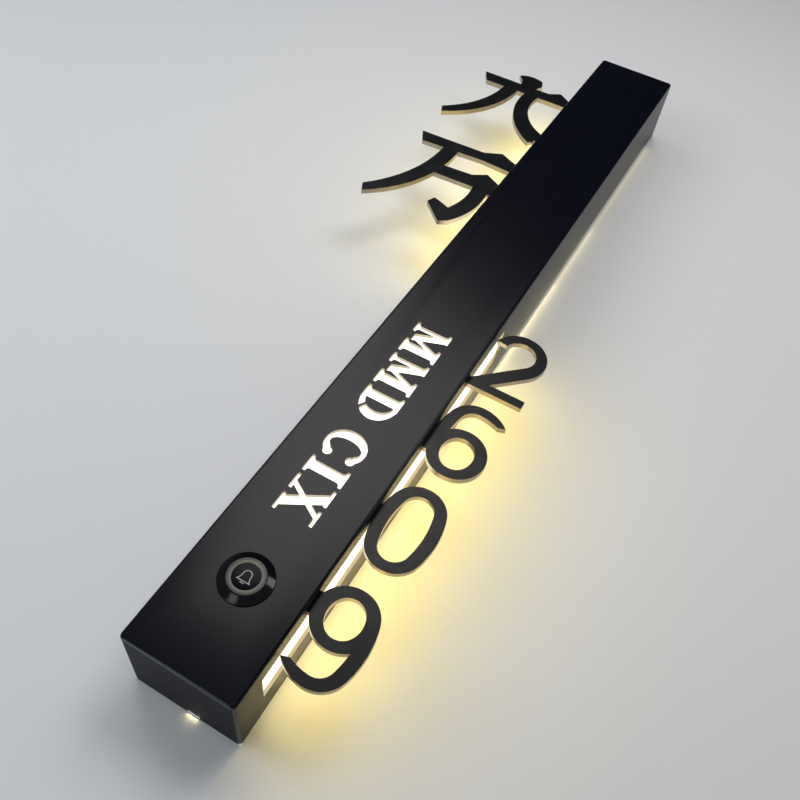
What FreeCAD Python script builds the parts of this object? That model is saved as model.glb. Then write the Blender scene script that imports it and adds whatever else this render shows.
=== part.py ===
import FreeCAD, Part
import math
import os
import re
import Sketcher

# Illuminated door number sign with a bell push.
#
# A long black sheet-metal housing hangs upright on a back plate. Light leaves it
# through a slot in each side wall and through the words cut in its face. Numeral
# plates stand out of the right wall and two larger plates out of the left wall,
# each held by tongues that pass through slits and are screwed to a rail inside.
#
# +Z is up along the housing, -Y points out of the wall towards the viewer, and
# the origin is the centre of the face that lies on the wall. Millimetres.

vector = FreeCAD.Vector
doc = FreeCAD.newDocument("door_number_sign")

# Driving sizes

SIZES = {
    # housing
    "housing_width": 51.0,
    "housing_height": 500.0,
    "housing_depth": 40.0,
    "wall_thickness": 1.5,
    "corner_radius": 2.0,
    "edge_radius": 1.2,
    "cut_overrun": 1.0,
    "fit_gap": 0.1,
    # light slots in the side walls: a start is measured up, a drop down from the top
    "slot_setback": 9.0,
    "slot_breadth": 17.0,
    "right_slot_start": 16.0,
    "right_slot_length": 210.0,
    "left_slot_drop": 40.0,
    "left_slot_length": 192.0,
    # shallow reliefs in the rear edges that let a line of light out
    "relief_depth": 1.5,
    "right_relief_drop": 18.0,
    "right_relief_length": 250.0,
    "left_relief_start": 16.0,
    "left_relief_length": 240.0,
    # cable notch in the rear edge of the bottom end
    "notch_width": 6.0,
    "notch_depth": 2.0,
    "notch_offset": 3.5,
    # words on the face
    "words_start": 73.0,
    "words_length": 126.0,
    # numeral plates
    "numeral_thickness": 3.0,
    "numeral_setback": 5.0,
    "numeral_width": 28.5,
    "numeral_height": 43.5,
    "numeral_stroke": 6.0,
    "numeral_thin_stroke": 4.8,
    "numeral_end_radius": 13.0,
    "nine_place": 42.2,
    "zero_place": 97.0,
    "six_place": 150.0,
    "two_place": 202.9,
    "bowl_radius": 13.7,
    "bowl_end_radius": 7.3,
    "tail_radius": 19.0,
    "tail_inner_radius": 25.0,
    "tail_gap": 0.8,
    "tail_cut": 3.7,
    "hook_angle": 162.0,
    # plates with two characters on the left
    "character_width": 68.0,
    "upper_character_height": 76.0,
    "upper_character_drop": 84.4,
    "lower_character_height": 82.0,
    "lower_character_drop": 182.0,
    # tongues of those plates and their screws
    "tongue_length": 10.5,
    "tongue_width": 10.0,
    "character_tongue_width": 8.0,
    "tongue_root": 2.0,
    "tongue_screw_inset": 7.0,
    "plate_screw_radius": 1.25,
    "plate_screw_head_radius": 2.25,
    "plate_screw_head_height": 1.6,
    "plate_screw_length": 6.0,
    "thread_gap": 0.02,
    # rails inside the front corners
    "rail_width": 7.0,
    "rail_margin": 6.0,
    # opal diffusers
    "diffuser_thickness": 2.0,
    "diffuser_lap": 5.0,
    "face_diffuser_gap": 0.9,
    # back plate
    "back_side_gap": 2.0,
    "back_thickness": 2.0,
    "back_end_gap": 0.3,
    "hook_space": 3.0,
    "flange_width": 34.0,
    "flange_reach": 12.0,
    "fold_radius": 1.0,
    "wall_hole_radius": 2.25,
    "wall_hole_inset": 18.0,
    "cable_hole_radius": 6.0,
    "cable_hole_place": 33.0,
    # hook bracket in the bottom end and its window in the flange
    "hook_width": 10.0,
    "hook_thickness": 1.2,
    "hook_rise": 8.0,
    "hook_foot": 7.0,
    "hook_setback": 6.0,
    "window_gap": 0.8,
    # countersunk screws in the top end
    "end_screw_spacing": 22.0,
    "end_screw_setback": 8.0,
    "end_screw_radius": 1.5,
    "end_screw_head_radius": 2.7,
    "end_screw_length": 7.0,
    # carrier channel for the front light strip
    "channel_width": 13.0,
    "channel_height": 12.0,
    "channel_wall": 1.2,
    "channel_foot": 5.5,
    "channel_start": 68.0,
    "channel_drop": 36.0,
    "channel_screw_inset": 10.0,
    "channel_screw_offset": 9.4,
    "channel_screw_radius": 1.25,
    "channel_screw_head_radius": 2.1,
    "channel_screw_head_height": 1.5,
    # light strips and their chips
    "strip_thickness": 0.4,
    "face_strip_width": 8.0,
    "side_strip_width": 5.0,
    "side_strip_offset": 13.4,
    "side_strip_margin": 4.0,
    "chip_length": 3.5,
    "chip_width": 2.8,
    "chip_height": 0.8,
    "chip_pitch": 16.6,
    # regulator and terminal block
    "regulator_inner_gap": 0.7,
    "regulator_wall_gap": 2.3,
    "regulator_height": 13.0,
    "regulator_length": 46.0,
    "regulator_place": 112.0,
    "regulator_edge": 1.0,
    "block_width": 18.0,
    "block_length": 10.0,
    "block_height": 8.5,
    "block_place": 55.5,
    "block_step": 2.0,
    "block_step_height": 6.5,
    "block_mouth_height": 4.5,
    "block_mouth_depth": 2.6,
    "block_screw_radius": 1.3,
    "block_screw_depth": 2.2,
    "block_screw_drop": 1.0,
    # grommet
    "grommet_lip_radius": 8.0,
    "grommet_lip": 2.0,
    "grommet_bore_radius": 3.0,
    # bell push, measured from the face
    "button_place": 42.2,
    "button_hole_radius": 9.6,
    "bezel_radius": 11.3,
    "bezel_height": 2.2,
    "bezel_crown_radius": 8.0,
    "bezel_slope": 1.6,
    "shank_radius": 9.3,
    "shank_length": 17.5,
    "ring_radius": 7.15,
    "ring_bore_radius": 5.7,
    "ring_length": 5.2,
    "ring_recess": 0.1,
    "ring_gap": 0.05,
    "chamber_radius": 6.7,
    "cap_radius": 5.65,
    "cap_recess": 0.3,
    "cap_edge": 0.3,
    "cap_collar_radius": 6.35,
    "cap_collar_height": 1.4,
    "cap_collar_gap": 0.3,
    "cap_travel": 1.5,
    "plunger_radius": 1.8,
    "plunger_length": 3.6,
    "spring_radius": 4.2,
    "spring_wire_radius": 0.35,
    "spring_turns": 4,
    "spring_end_gap": 0.06,
    "base_length": 9.5,
    "base_flange_radius": 8.4,
    "base_flange_height": 3.0,
    "base_gap": 0.05,
    "well_radius": 2.4,
    "well_depth": 4.0,
    "blade_width": 2.2,
    "blade_thickness": 0.6,
    "blade_length": 5.5,
    "blade_offset": 4.6,
    "nut_flats": 22.0,
    "nut_thickness": 3.0,
    "nut_gap": 0.05,
    "seal_radius": 10.7,
    "seal_thickness": 0.5,
    # inner leads
    "lead_radius": 0.8,
    "lead_spread": 2.4,
    "lead_rise": 4.0,
    "lead_low_rise": 3.0,
    "lead_drop": 16.0,
    "lead_climb": 20.0,
    "lead_bend": 2.0,
}

sheet = doc.addObject("Spreadsheet::Sheet", "Sizes")
for row, (alias, value) in enumerate(SIZES.items(), start=1):
    sheet.set("A%d" % row, alias)
    sheet.set("B%d" % row, str(value))
    sheet.setAlias("B%d" % row, alias)
doc.recompute()


def cell(text):
    """Return an expression on the sheet's sizes as other objects read it."""
    return re.sub(r"[a-z][a-z_]*", lambda m: "Sizes." + m.group() if m.group() in SIZES else m.group(), text)


def size(text):
    """Return the value of an expression on the sheet's sizes."""
    return float(sheet.evalExpression(text))


def low(text):
    """Height of a place that is measured from the housing's bottom end."""
    return "(%s) - housing_height / 2" % text


def bind(item, prop, text):
    item.setExpression(prop, cell(text))


def bind_place(item, x="0", y="0", z="0"):
    for letter, text in zip("xyz", (x, y, z)):
        bind(item, "Placement.Base." + letter, text)


# Sketch tools

HEAD_SIDES = 6
SHANK_SIDES = 8


def new_body(label):
    return doc.addObject("PartDesign::Body", label)


def new_sketch(body, role):
    plane = [item for item in body.Origin.OriginFeatures if item.Role == role][0]
    sketch = body.newObject("Sketcher::SketchObject", body.Label + "_sketch")
    sketch.AttachmentSupport = (plane, [""])
    sketch.MapMode = "FlatFace"
    return sketch


def pin_point(sketch, geometry, end, across, up):
    """Tie one point of a sketch to two expressions, counted from the sketch's origin."""
    for kind, text, axis in (("DistanceX", across, -2), ("DistanceY", up, -1)):
        value = size(text)
        if value == 0:
            sketch.addConstraint(Sketcher.Constraint("PointOnObject", geometry, end, axis))
        else:
            index = sketch.addConstraint(Sketcher.Constraint(kind, -1, 1, geometry, end, value))
            bind(sketch, "Constraints[%d]" % index, text)


def bind_radius(sketch, geometry, radius):
    index = sketch.addConstraint(Sketcher.Constraint("Radius", geometry, size(radius)))
    bind(sketch, "Constraints[%d]" % index, radius)


def outline(sketch, points):
    """Closed outline of straight edges through points given as pairs of expressions."""
    corners = [vector(size(across), size(up), 0) for across, up in points]
    lines = []
    for start, end in zip(corners, corners[1:] + corners[:1]):
        lines.append(sketch.addGeometry(Part.LineSegment(start, end)))
    for line, following in zip(lines, lines[1:] + lines[:1]):
        sketch.addConstraint(Sketcher.Constraint("Coincident", line, 2, following, 1))
    for line, (across, up) in zip(lines, points):
        pin_point(sketch, line, 1, across, up)


def rectangle(sketch, left, right, bottom, top):
    outline(sketch, [(left, bottom), (right, bottom), (right, top), (left, top)])


def circle(sketch, across, up, radius):
    centre = vector(size(across), size(up), 0)
    geometry = sketch.addGeometry(Part.Circle(centre, vector(0, 0, 1), size(radius)))
    pin_point(sketch, geometry, 3, across, up)
    bind_radius(sketch, geometry, radius)


def arc(sketch, across, up, radius, start_angle, end_angle):
    """Arc about a tied centre, counter-clockwise between two angles in radians."""
    centre = vector(size(across), size(up), 0)
    curve = Part.ArcOfCircle(Part.Circle(centre, vector(0, 0, 1), size(radius)), start_angle, end_angle)
    geometry = sketch.addGeometry(curve)
    pin_point(sketch, geometry, 3, across, up)
    bind_radius(sketch, geometry, radius)


def small_hole(sketch, across, up, radius):
    """Hole for a screw that nobody sees: as many sides as the screw's shank."""
    corners = []
    for step in range(SHANK_SIDES):
        turn = "(360 / %d * %d deg)" % (SHANK_SIDES, step)
        corners.append(("%s + (%s) * cos%s" % (across, radius, turn), "%s + (%s) * sin%s" % (up, radius, turn)))
    outline(sketch, [tuple("0" if abs(size(text)) < 1e-9 else text for text in corner) for corner in corners])


def oval(sketch, across, up, half_width, half_height, end_radius):
    """Upright oval of two end arcs and two flat side arcs that meet in tangents."""
    lift = "(%s - %s)" % (half_height, end_radius)
    side_radius = "((%s)^2 - (%s)^2 + %s^2) / (2 * (%s - %s))" % (
        half_width, end_radius, lift, half_width, end_radius)
    reach = "(%s - %s)" % (side_radius, half_width)
    turn = math.atan2(size(lift), size(reach))
    arc(sketch, across, "%s + %s" % (up, lift), end_radius, turn, math.pi - turn)
    arc(sketch, across, "%s - %s" % (up, lift), end_radius, math.pi + turn, 2 * math.pi - turn)
    arc(sketch, "%s - %s" % (across, reach), up, side_radius, -turn, turn)
    arc(sketch, "%s + %s" % (across, reach), up, side_radius, math.pi - turn, math.pi + turn)


# Solid tools

def pad(body, sketch, length, flip=False):
    feature = body.newObject("PartDesign::Pad", body.Label + "_pad")
    feature.Profile = sketch
    bind(feature, "Length", length)
    feature.Reversed = flip
    doc.recompute()
    return feature


def pocket(body, sketch, length, flip=False):
    before = body.Shape.Volume
    feature = body.newObject("PartDesign::Pocket", body.Label + "_pocket")
    feature.Profile = sketch
    bind(feature, "Length", length)
    feature.Reversed = flip
    doc.recompute()
    if not body.Shape.Volume < before:
        raise RuntimeError("a pocket of %s cut nothing" % body.Label)
    return feature


def revolve(label, profile, x="0", z="0"):
    """Body turned about a line along Y: the profile's points are (radius, place along Y)."""
    body = new_body(label)
    sketch = new_sketch(body, "XY_Plane")
    outline(sketch, profile)
    feature = body.newObject("PartDesign::Revolution", label + "_turn")
    feature.Profile = sketch
    feature.ReferenceAxis = (sketch, ["V_Axis"])
    feature.Angle = 360
    bind_place(body, x=x, z=z)
    doc.recompute()
    return body


def round_edges(body, radius, wanted):
    """Fillet the edges that a test on the edge picks out."""
    tip = body.Tip
    names = ["Edge%d" % number for number, edge in enumerate(tip.Shape.Edges, start=1) if wanted(edge)]
    feature = body.newObject("PartDesign::Fillet", body.Label + "_fillet")
    feature.Base = (tip, names)
    bind(feature, "Radius", radius)
    doc.recompute()
    return feature


def along(edge, axis):
    return len(edge.Vertexes) == 2 and abs(edge.tangentAt(edge.FirstParameter).dot(axis)) > 1 - 1e-6


def at_front(edge, depth):
    box = edge.BoundBox
    return abs(box.YMin + depth) < 1e-6 and abs(box.YMax + depth) < 1e-6


def block(label, x, y, z):
    """Box whose x, y and z are pairs of expressions, low end first."""
    item = doc.addObject("Part::Box", label)
    for prop, (start, end) in zip(("Length", "Width", "Height"), (x, y, z)):
        bind(item, prop, "(%s) - (%s)" % (end, start))
    bind_place(item, x=x[0], y=y[0], z=z[0])
    return item


WIRE_SIDES = 6
SPRING_STEPS = 14
ARC_STEPS = 4
ARC_REACH_SHARE = 0.45

TURNS = {
    "+X": FreeCAD.Rotation(vector(0, 1, 0), 90),
    "+Y": FreeCAD.Rotation(vector(1, 0, 0), -90),
    "-Y": FreeCAD.Rotation(vector(1, 0, 0), 90),
    "-Z": FreeCAD.Rotation(vector(1, 0, 0), 180),
}


def prism(label, x, y, z, sides, radius, length, direction):
    """Many-sided bar: hidden fasteners need no round faces."""
    item = doc.addObject("Part::Prism", label)
    item.Polygon = sides
    bind(item, "Circumradius", radius)
    bind(item, "Height", length)
    item.Placement.Rotation = TURNS[direction]
    bind_place(item, x, y, z)
    return item


def cut(label, base, tools):
    joined = tools[0]
    if len(tools) > 1:
        joined = doc.addObject("Part::MultiFuse", label + "_tools")
        joined.Shapes = tools
    item = doc.addObject("Part::Cut", label)
    item.Base = base
    item.Tool = joined
    return item


def fuse(label, items):
    item = doc.addObject("Part::MultiFuse", label)
    item.Shapes = items
    return item


def group(label, items):
    item = doc.addObject("Part::Compound", label)
    item.Links = items
    return item


# Places that several pieces share

FACE = "-housing_depth"
RIGHT = "housing_width / 2"
INNER = "(housing_width / 2 - wall_thickness)"
SHEET_INNER = "(housing_width / 2 - wall_thickness - diffuser_thickness - fit_gap)"
BACK_HALF = "(housing_width / 2 - wall_thickness - back_side_gap)"
CHANNEL_FOOT = "(channel_width / 2 + channel_foot)"
CHANNEL_LENGTH = "(housing_height - channel_start - channel_drop)"
REGULATOR_INNER = "(%s + regulator_inner_gap)" % CHANNEL_FOOT
REGULATOR_OUTER = "(%s - regulator_wall_gap)" % INNER
REGULATOR_MIDDLE = "((%s + %s) / 2)" % (REGULATOR_INNER, REGULATOR_OUTER)
REGULATOR_QUARTER = "((%s - %s) / 4)" % (REGULATOR_OUTER, REGULATOR_INNER)
FACE_INNER = "(wall_thickness - housing_depth)"
SLOT_FRONT = "(slot_setback - housing_depth)"
SLOT_REAR = "(slot_setback + slot_breadth - housing_depth)"
PLATE_FRONT = "(numeral_setback - housing_depth)"
PLATE_REAR = "(numeral_setback + numeral_thickness - housing_depth)"
BACK_FRONT = "-back_thickness"
BOTTOM = low("0")
TOP = low("housing_height")
BUTTON_Z = low("button_place")


UPPER_PLACE = low("housing_height - upper_character_drop")
LOWER_PLACE = low("housing_height - lower_character_drop")

# Heights of the tongues: a plate's own height and how far above its middle each tongue is
UPPER_TONGUE_SHARES = (0.268, -0.357)
LOWER_TONGUE_SHARES = (0.378, 0.067)
TONGUES = {
    "numeral_nine": ("right", low("nine_place"), ["numeral_height / 2 - bowl_radius"]),
    "numeral_zero": ("right", low("zero_place"), ["0"]),
    "numeral_six": ("right", low("six_place"), ["bowl_radius - numeral_height / 2"]),
    "numeral_two": ("right", low("two_place"), ["(numeral_thin_stroke - numeral_height) / 2"]),
    "upper_character": ("left", UPPER_PLACE, ["upper_character_height * %s" % share for share in UPPER_TONGUE_SHARES]),
    "lower_character": ("left", LOWER_PLACE, ["lower_character_height * %s" % share for share in LOWER_TONGUE_SHARES]),
}
NARROW_TONGUES = {
    "numeral_two": "numeral_thin_stroke",
    "upper_character": "character_tongue_width",
    "lower_character": "character_tongue_width",
}


def tongue_width(name):
    return NARROW_TONGUES.get(name, "tongue_width")


def tongues(side):
    """Each tongue of one side: its height on the sign and its width."""
    found = []
    for name, (its_side, place, offsets) in TONGUES.items():
        if its_side == side:
            found += [("%s + %s" % (place, offset), tongue_width(name)) for offset in offsets]
    return found


def signed(side, text):
    return text if side == "right" else "-(%s)" % text


def span(side, inner, outer):
    """Low and high x of something on one side, given from its distances to the middle."""
    return (inner, outer) if side == "right" else ("-(%s)" % outer, "-(%s)" % inner)


# Housing

LEFT_SLOT_START = "(housing_height - left_slot_drop - left_slot_length)"
RIGHT_RELIEF_START = "(housing_height - right_relief_drop - right_relief_length)"
SLOTS = {
    "right": ("right_slot_start", "right_slot_length", RIGHT_RELIEF_START, "right_relief_length"),
    "left": (LEFT_SLOT_START, "left_slot_length", "left_relief_start", "left_relief_length"),
}


def make_housing():
    body = new_body("front_housing")
    sketch = new_sketch(body, "XZ_Plane")
    rectangle(sketch, "-housing_width / 2", RIGHT, BOTTOM, TOP)
    pad(body, sketch, "housing_depth")
    round_edges(body, "corner_radius", lambda edge: along(edge, vector(0, 1, 0)))
    round_edges(body, "edge_radius", lambda edge: at_front(edge, size("housing_depth")))

    sketch = new_sketch(body, "XZ_Plane")
    rectangle(sketch, "-" + INNER, INNER, BOTTOM + " + wall_thickness", TOP + " - wall_thickness")
    pocket(body, sketch, "housing_depth - wall_thickness", flip=True)

    for side, (start, length, relief_start, relief_length) in SLOTS.items():
        sketch = new_sketch(body, "YZ_Plane")
        rectangle(sketch, SLOT_FRONT, SLOT_REAR, low(start), low("%s + %s" % (start, length)))
        for middle, width in tongues(side):
            half = "(%s / 2 + fit_gap)" % width
            rectangle(sketch, PLATE_FRONT + " - fit_gap", PLATE_REAR + " + fit_gap",
                      "%s - %s" % (middle, half), "%s + %s" % (middle, half))
        relief_end = "%s + %s" % (relief_start, relief_length)
        rectangle(sketch, "-relief_depth", "cut_overrun", low(relief_start), low(relief_end))
        pocket(body, sketch, "housing_width", flip=(side == "right"))

    sketch = new_sketch(body, "XZ_Plane")
    circle(sketch, "0", BUTTON_Z, "button_hole_radius")
    pocket(body, sketch, "housing_depth + cut_overrun", flip=True)

    sketch = new_sketch(body, "XY_Plane")
    rectangle(sketch, "notch_offset - notch_width / 2", "notch_offset + notch_width / 2", "-notch_depth",
              "cut_overrun")
    pocket(body, sketch, "housing_height")

    sketch = new_sketch(body, "XY_Plane")
    for side in ("-", ""):
        circle(sketch, side + "end_screw_spacing / 2", "-end_screw_setback", "end_screw_radius + fit_gap")
    pocket(body, sketch, "housing_height", flip=True)
    tip = body.Tip
    rims = []
    for number, edge in enumerate(tip.Shape.Edges, start=1):
        box = edge.BoundBox
        on_top = abs(box.ZMin - size(TOP)) < 1e-6
        if on_top and isinstance(edge.Curve, Part.Circle) and len(edge.Vertexes) == 1:
            rims.append("Edge%d" % number)
    sinks = body.newObject("PartDesign::Chamfer", "front_housing_sinks")
    sinks.Base = (tip, rims)
    bind(sinks, "Size", "end_screw_head_radius - end_screw_radius")
    doc.recompute()
    return body


# Back plate

def make_back_plate():
    body = new_body("back_plate")
    bottom = BOTTOM + " + wall_thickness + hook_space"
    top = TOP + " - wall_thickness - back_end_gap"
    sketch = new_sketch(body, "XZ_Plane")
    rectangle(sketch, "-" + BACK_HALF, BACK_HALF, bottom, top)
    pad(body, sketch, "back_thickness")
    for start, end in ((bottom, bottom + " + back_thickness"), (top + " - back_thickness", top)):
        sketch = new_sketch(body, "XZ_Plane")
        rectangle(sketch, "-flange_width / 2", "flange_width / 2", start, end)
        pad(body, sketch, "flange_reach")

    depth = size("flange_reach")
    round_edges(body, "corner_radius", lambda edge: along(edge, vector(0, 0, 1)) and at_front(edge, depth))
    half_width = size(BACK_HALF)
    round_edges(body, "corner_radius",
                lambda edge: along(edge, vector(0, 1, 0)) and abs(abs(edge.BoundBox.XMin) - half_width) < 1e-6)

    sketch = new_sketch(body, "XY_Plane")
    rectangle(sketch, "-hook_width / 2 - window_gap", "hook_width / 2 + window_gap",
              "-hook_setback - hook_thickness - window_gap", "-hook_setback + window_gap")
    pocket(body, sketch, "housing_height")

    sketch = new_sketch(body, "XY_Plane")
    for side in ("-", ""):
        small_hole(sketch, side + "end_screw_spacing / 2", "-end_screw_setback", "end_screw_radius + thread_gap")
    pocket(body, sketch, "housing_height", flip=True)

    sketch = new_sketch(body, "XZ_Plane")
    circle(sketch, "0", BOTTOM + " + wall_hole_inset", "wall_hole_radius")
    circle(sketch, "0", TOP + " - wall_hole_inset", "wall_hole_radius")
    circle(sketch, "0", low("cable_hole_place"), "cable_hole_radius")
    for across, up in channel_screw_places():
        small_hole(sketch, across, up, "channel_screw_radius + thread_gap")
    pocket(body, sketch, "back_thickness + cut_overrun", flip=True)
    return body


def make_hook_bracket():
    """Angle on the bottom end: its upright leg enters the window of the back plate."""
    body = new_body("hook_bracket")
    floor = BOTTOM + " + wall_thickness"
    sketch = new_sketch(body, "YZ_Plane")
    outline(sketch, [
        ("-hook_setback", floor),
        ("-hook_setback", floor + " + hook_rise"),
        ("-hook_setback - hook_thickness", floor + " + hook_rise"),
        ("-hook_setback - hook_thickness", floor + " + hook_thickness"),
        ("-hook_setback - hook_foot", floor + " + hook_thickness"),
        ("-hook_setback - hook_foot", floor),
    ])
    feature = pad(body, sketch, "hook_width")
    feature.Midplane = True
    doc.recompute()
    return body


def make_end_screws():
    screws = []
    for side in ("-", ""):
        place = {"x": side + "end_screw_spacing / 2", "y": "-end_screw_setback"}
        head = doc.addObject("Part::Cone", "end_screw_head")
        bind(head, "Radius1", "end_screw_head_radius")
        bind(head, "Radius2", "end_screw_radius")
        bind(head, "Height", "end_screw_head_radius - end_screw_radius")
        head.Placement.Rotation = TURNS["-Z"]
        bind_place(head, z=TOP, **place)
        shank = prism("end_screw_shank", place["x"], place["y"], TOP, SHANK_SIDES, "end_screw_radius",
                      "end_screw_length", "-Z")
        screws.append(fuse("end_screw", [head, shank]))
    return group("end_screws", screws)


# Diffusers and rails

def slot_ends(side):
    start, length = SLOTS[side][:2]
    return low(start), low("%s + %s" % (start, length))


def make_side_diffuser(side):
    """Opal strip against the side wall, notched where the tongues pass."""
    bottom, top = slot_ends(side)
    sheet_x = span(side, INNER + " - diffuser_thickness", INNER)
    strip = block(side + "_diffuser_sheet", sheet_x, (FACE_INNER + " + fit_gap", SLOT_REAR + " + diffuser_lap"),
                  (bottom + " - diffuser_lap", top + " + diffuser_lap"))
    wide_x = span(side, INNER + " - diffuser_thickness - cut_overrun", INNER + " + cut_overrun")
    notches = []
    for middle, width in tongues(side):
        half = "(%s / 2 + fit_gap)" % width
        notches.append(block(side + "_diffuser_notch", wide_x, (FACE_INNER, PLATE_REAR + " + fit_gap"),
                             ("%s - %s" % (middle, half), "%s + %s" % (middle, half))))
    return cut(side + "_diffuser", strip, notches)


def make_face_diffuser():
    half = "(%s - rail_width - face_diffuser_gap)" % SHEET_INNER
    return block("face_diffuser", ("-" + half, half),
                 (FACE_INNER, FACE_INNER + " + diffuser_thickness"),
                 (low("words_start - diffuser_lap"), low("words_start + words_length + diffuser_lap")))


def make_rail(side):
    """Bar in the front corner that the tongues lie on, drilled for their screws."""
    bottom, top = slot_ends(side)
    bar = block(side + "_rail_bar", span(side, SHEET_INNER + " - rail_width", SHEET_INNER),
                (FACE_INNER, PLATE_FRONT), (bottom + " + rail_margin", top + " - rail_margin"))
    holes = []
    for middle, width in tongues(side):
        holes.append(prism(side + "_rail_hole", signed(side, RIGHT + " - tongue_screw_inset"),
                           PLATE_FRONT + " + cut_overrun", middle, SHANK_SIDES,
                           "plate_screw_radius + thread_gap", "plate_screw_length", "-Y"))
    return cut(side + "_rail", bar, holes)


def make_plate_screws():
    screws = []
    for side in ("right", "left"):
        for middle, width in tongues(side):
            x = signed(side, RIGHT + " - tongue_screw_inset")
            head = prism("plate_screw_head", x, PLATE_REAR, middle, HEAD_SIDES, "plate_screw_head_radius",
                         "plate_screw_head_height", "+Y")
            shank = prism("plate_screw_shank", x, PLATE_REAR, middle, SHANK_SIDES, "plate_screw_radius",
                          "plate_screw_length", "-Y")
            screws.append(fuse("plate_screw", [head, shank]))
    return group("plate_screws", screws)


# Numeral plates: x runs out of the wall, z up from the numeral's middle

HALF_WIDTH = "numeral_width / 2"
HALF_HEIGHT = "numeral_height / 2"


def numeral_body(label):
    body = new_body(label)
    bind_place(body, x=RIGHT, y=PLATE_REAR, z=TONGUES[label][1])
    return body


def add_ring(body):
    """Upright oval ring that the zero, the six and the nine share."""
    sketch = new_sketch(body, "XZ_Plane")
    oval(sketch, HALF_WIDTH, "0", HALF_WIDTH, HALF_HEIGHT, "numeral_end_radius")
    oval(sketch, HALF_WIDTH, "0", "(numeral_width / 2 - numeral_stroke)",
         "(numeral_height / 2 - numeral_thin_stroke)", "(numeral_end_radius - numeral_stroke)")
    pad(body, sketch, "numeral_thickness")


def add_tongues(body, side):
    """Tongues that reach into the housing, each with a hole for its screw."""
    label = body.Label
    offsets = TONGUES[label][2]
    width = tongue_width(label)
    root = "tongue_root" if label not in NARROW_TONGUES else "0"
    left, right = span(side, "-tongue_length", root)
    sketch = new_sketch(body, "XZ_Plane")
    for offset in offsets:
        rectangle(sketch, left, right, "%s - %s / 2" % (offset, width), "%s + %s / 2" % (offset, width))
    pad(body, sketch, "numeral_thickness")
    sketch = new_sketch(body, "XZ_Plane")
    for offset in offsets:
        small_hole(sketch, signed(side, "-tongue_screw_inset"), offset, "plate_screw_radius + fit_gap")
    pocket(body, sketch, "numeral_thickness + cut_overrun", flip=True)


def make_zero():
    body = numeral_body("numeral_zero")
    add_ring(body)
    add_tongues(body, "right")
    return body


def make_looped(label, turned):
    """Nine, or with the turn a six: half of the ring, a bowl and a tail with a slanted end."""
    body = numeral_body(label)
    add_ring(body)

    def spot(across, up):
        return ("numeral_width - (%s)" % across, "-(%s)" % up) if turned else (across, up)

    beyond = "(numeral_height / 2 + cut_overrun)"
    sketch = new_sketch(body, "XZ_Plane")
    outline(sketch, [spot("-cut_overrun", "-" + beyond), spot(HALF_WIDTH, "-" + beyond),
                     spot(HALF_WIDTH, beyond), spot("-cut_overrun", beyond)])
    pocket(body, sketch, "numeral_thickness", flip=True)

    middle = size(HALF_WIDTH)

    def edge_spot(bottom, radius, across):
        """Point of a tail edge: an arc that lies level under the numeral's middle."""
        up = size(bottom) + size(radius) - math.sqrt(size(radius) ** 2 - across ** 2)
        x, z = (middle - across, up) if not turned else (middle + across, -up)
        return vector(x, z, 0)

    sketch = new_sketch(body, "XZ_Plane")
    ends = []
    for bottom, radius, end in (("-numeral_height / 2", "tail_radius", "tail_gap"),
                                ("numeral_thin_stroke - numeral_height / 2", "tail_inner_radius",
                                 "tail_gap + tail_cut")):
        reach = middle - size(end)
        spots = [edge_spot(bottom, radius, across) for across in (0, reach / 2, reach)]
        sketch.addGeometry(Part.Arc(*spots))
        ends.append((spots[0], spots[2]))
    for pair in zip(*ends):
        sketch.addGeometry(Part.LineSegment(*pair))
    pad(body, sketch, "numeral_thickness")

    bowl = spot("bowl_radius", "numeral_height / 2 - bowl_radius")
    sketch = new_sketch(body, "XZ_Plane")
    circle(sketch, *bowl, "bowl_radius")
    pad(body, sketch, "numeral_thickness")
    sketch = new_sketch(body, "XZ_Plane")
    oval(sketch, *bowl, "(bowl_radius - numeral_stroke)", "(bowl_radius - numeral_thin_stroke)", "bowl_end_radius")
    pocket(body, sketch, "numeral_thickness", flip=True)
    add_tongues(body, "right")
    return body


def make_two():
    """Round hook, a straight diagonal that is its tangent, and a foot."""
    body = numeral_body("numeral_two")
    outer = size("numeral_width / 2")
    inner = size("numeral_width / 2 - numeral_stroke")
    centre = vector(outer, size("numeral_height / 2 - numeral_width / 2"), 0)
    inner_centre = centre + vector(0, size("numeral_stroke - numeral_thin_stroke"), 0)
    foot_top = size("numeral_thin_stroke - numeral_height / 2")
    foot_bottom = size("-numeral_height / 2")
    width = size("numeral_width")
    corner = vector(0, foot_top, 0)
    to_corner = corner - inner_centre
    turn = math.atan2(to_corner.y, to_corner.x) + math.acos(inner / to_corner.Length)
    hook = math.radians(size("hook_angle"))

    def on_circle(middle, radius, angle):
        return middle + vector(math.cos(angle), math.sin(angle), 0) * radius

    slope = vector(math.sin(turn), -math.cos(turn), 0)
    outer_end = on_circle(centre, outer, turn)
    heel = outer_end + slope * ((foot_top - outer_end.y) / slope.y)
    sketch = new_sketch(body, "XZ_Plane")
    for middle, radius in ((centre, outer), (inner_centre, inner)):
        sketch.addGeometry(Part.Arc(*[on_circle(middle, radius, angle) for angle in (turn, (turn + hook) / 2, hook)]))
    corners = [outer_end, heel, vector(width, foot_top, 0), vector(width, foot_bottom, 0),
               vector(0, foot_bottom, 0), corner, on_circle(inner_centre, inner, turn)]
    for start, end in zip(corners, corners[1:]):
        sketch.addGeometry(Part.LineSegment(start, end))
    sketch.addGeometry(Part.LineSegment(on_circle(inner_centre, inner, hook), on_circle(centre, outer, hook)))
    pad(body, sketch, "numeral_thickness")
    add_tongues(body, "right")
    return body


# Character plates: corners of strokes as shares of the plate's width, from its outer
# edge to the wall, and of its height, from the bottom. A corner marked "by" is passed
# by an arc between its neighbours.

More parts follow.
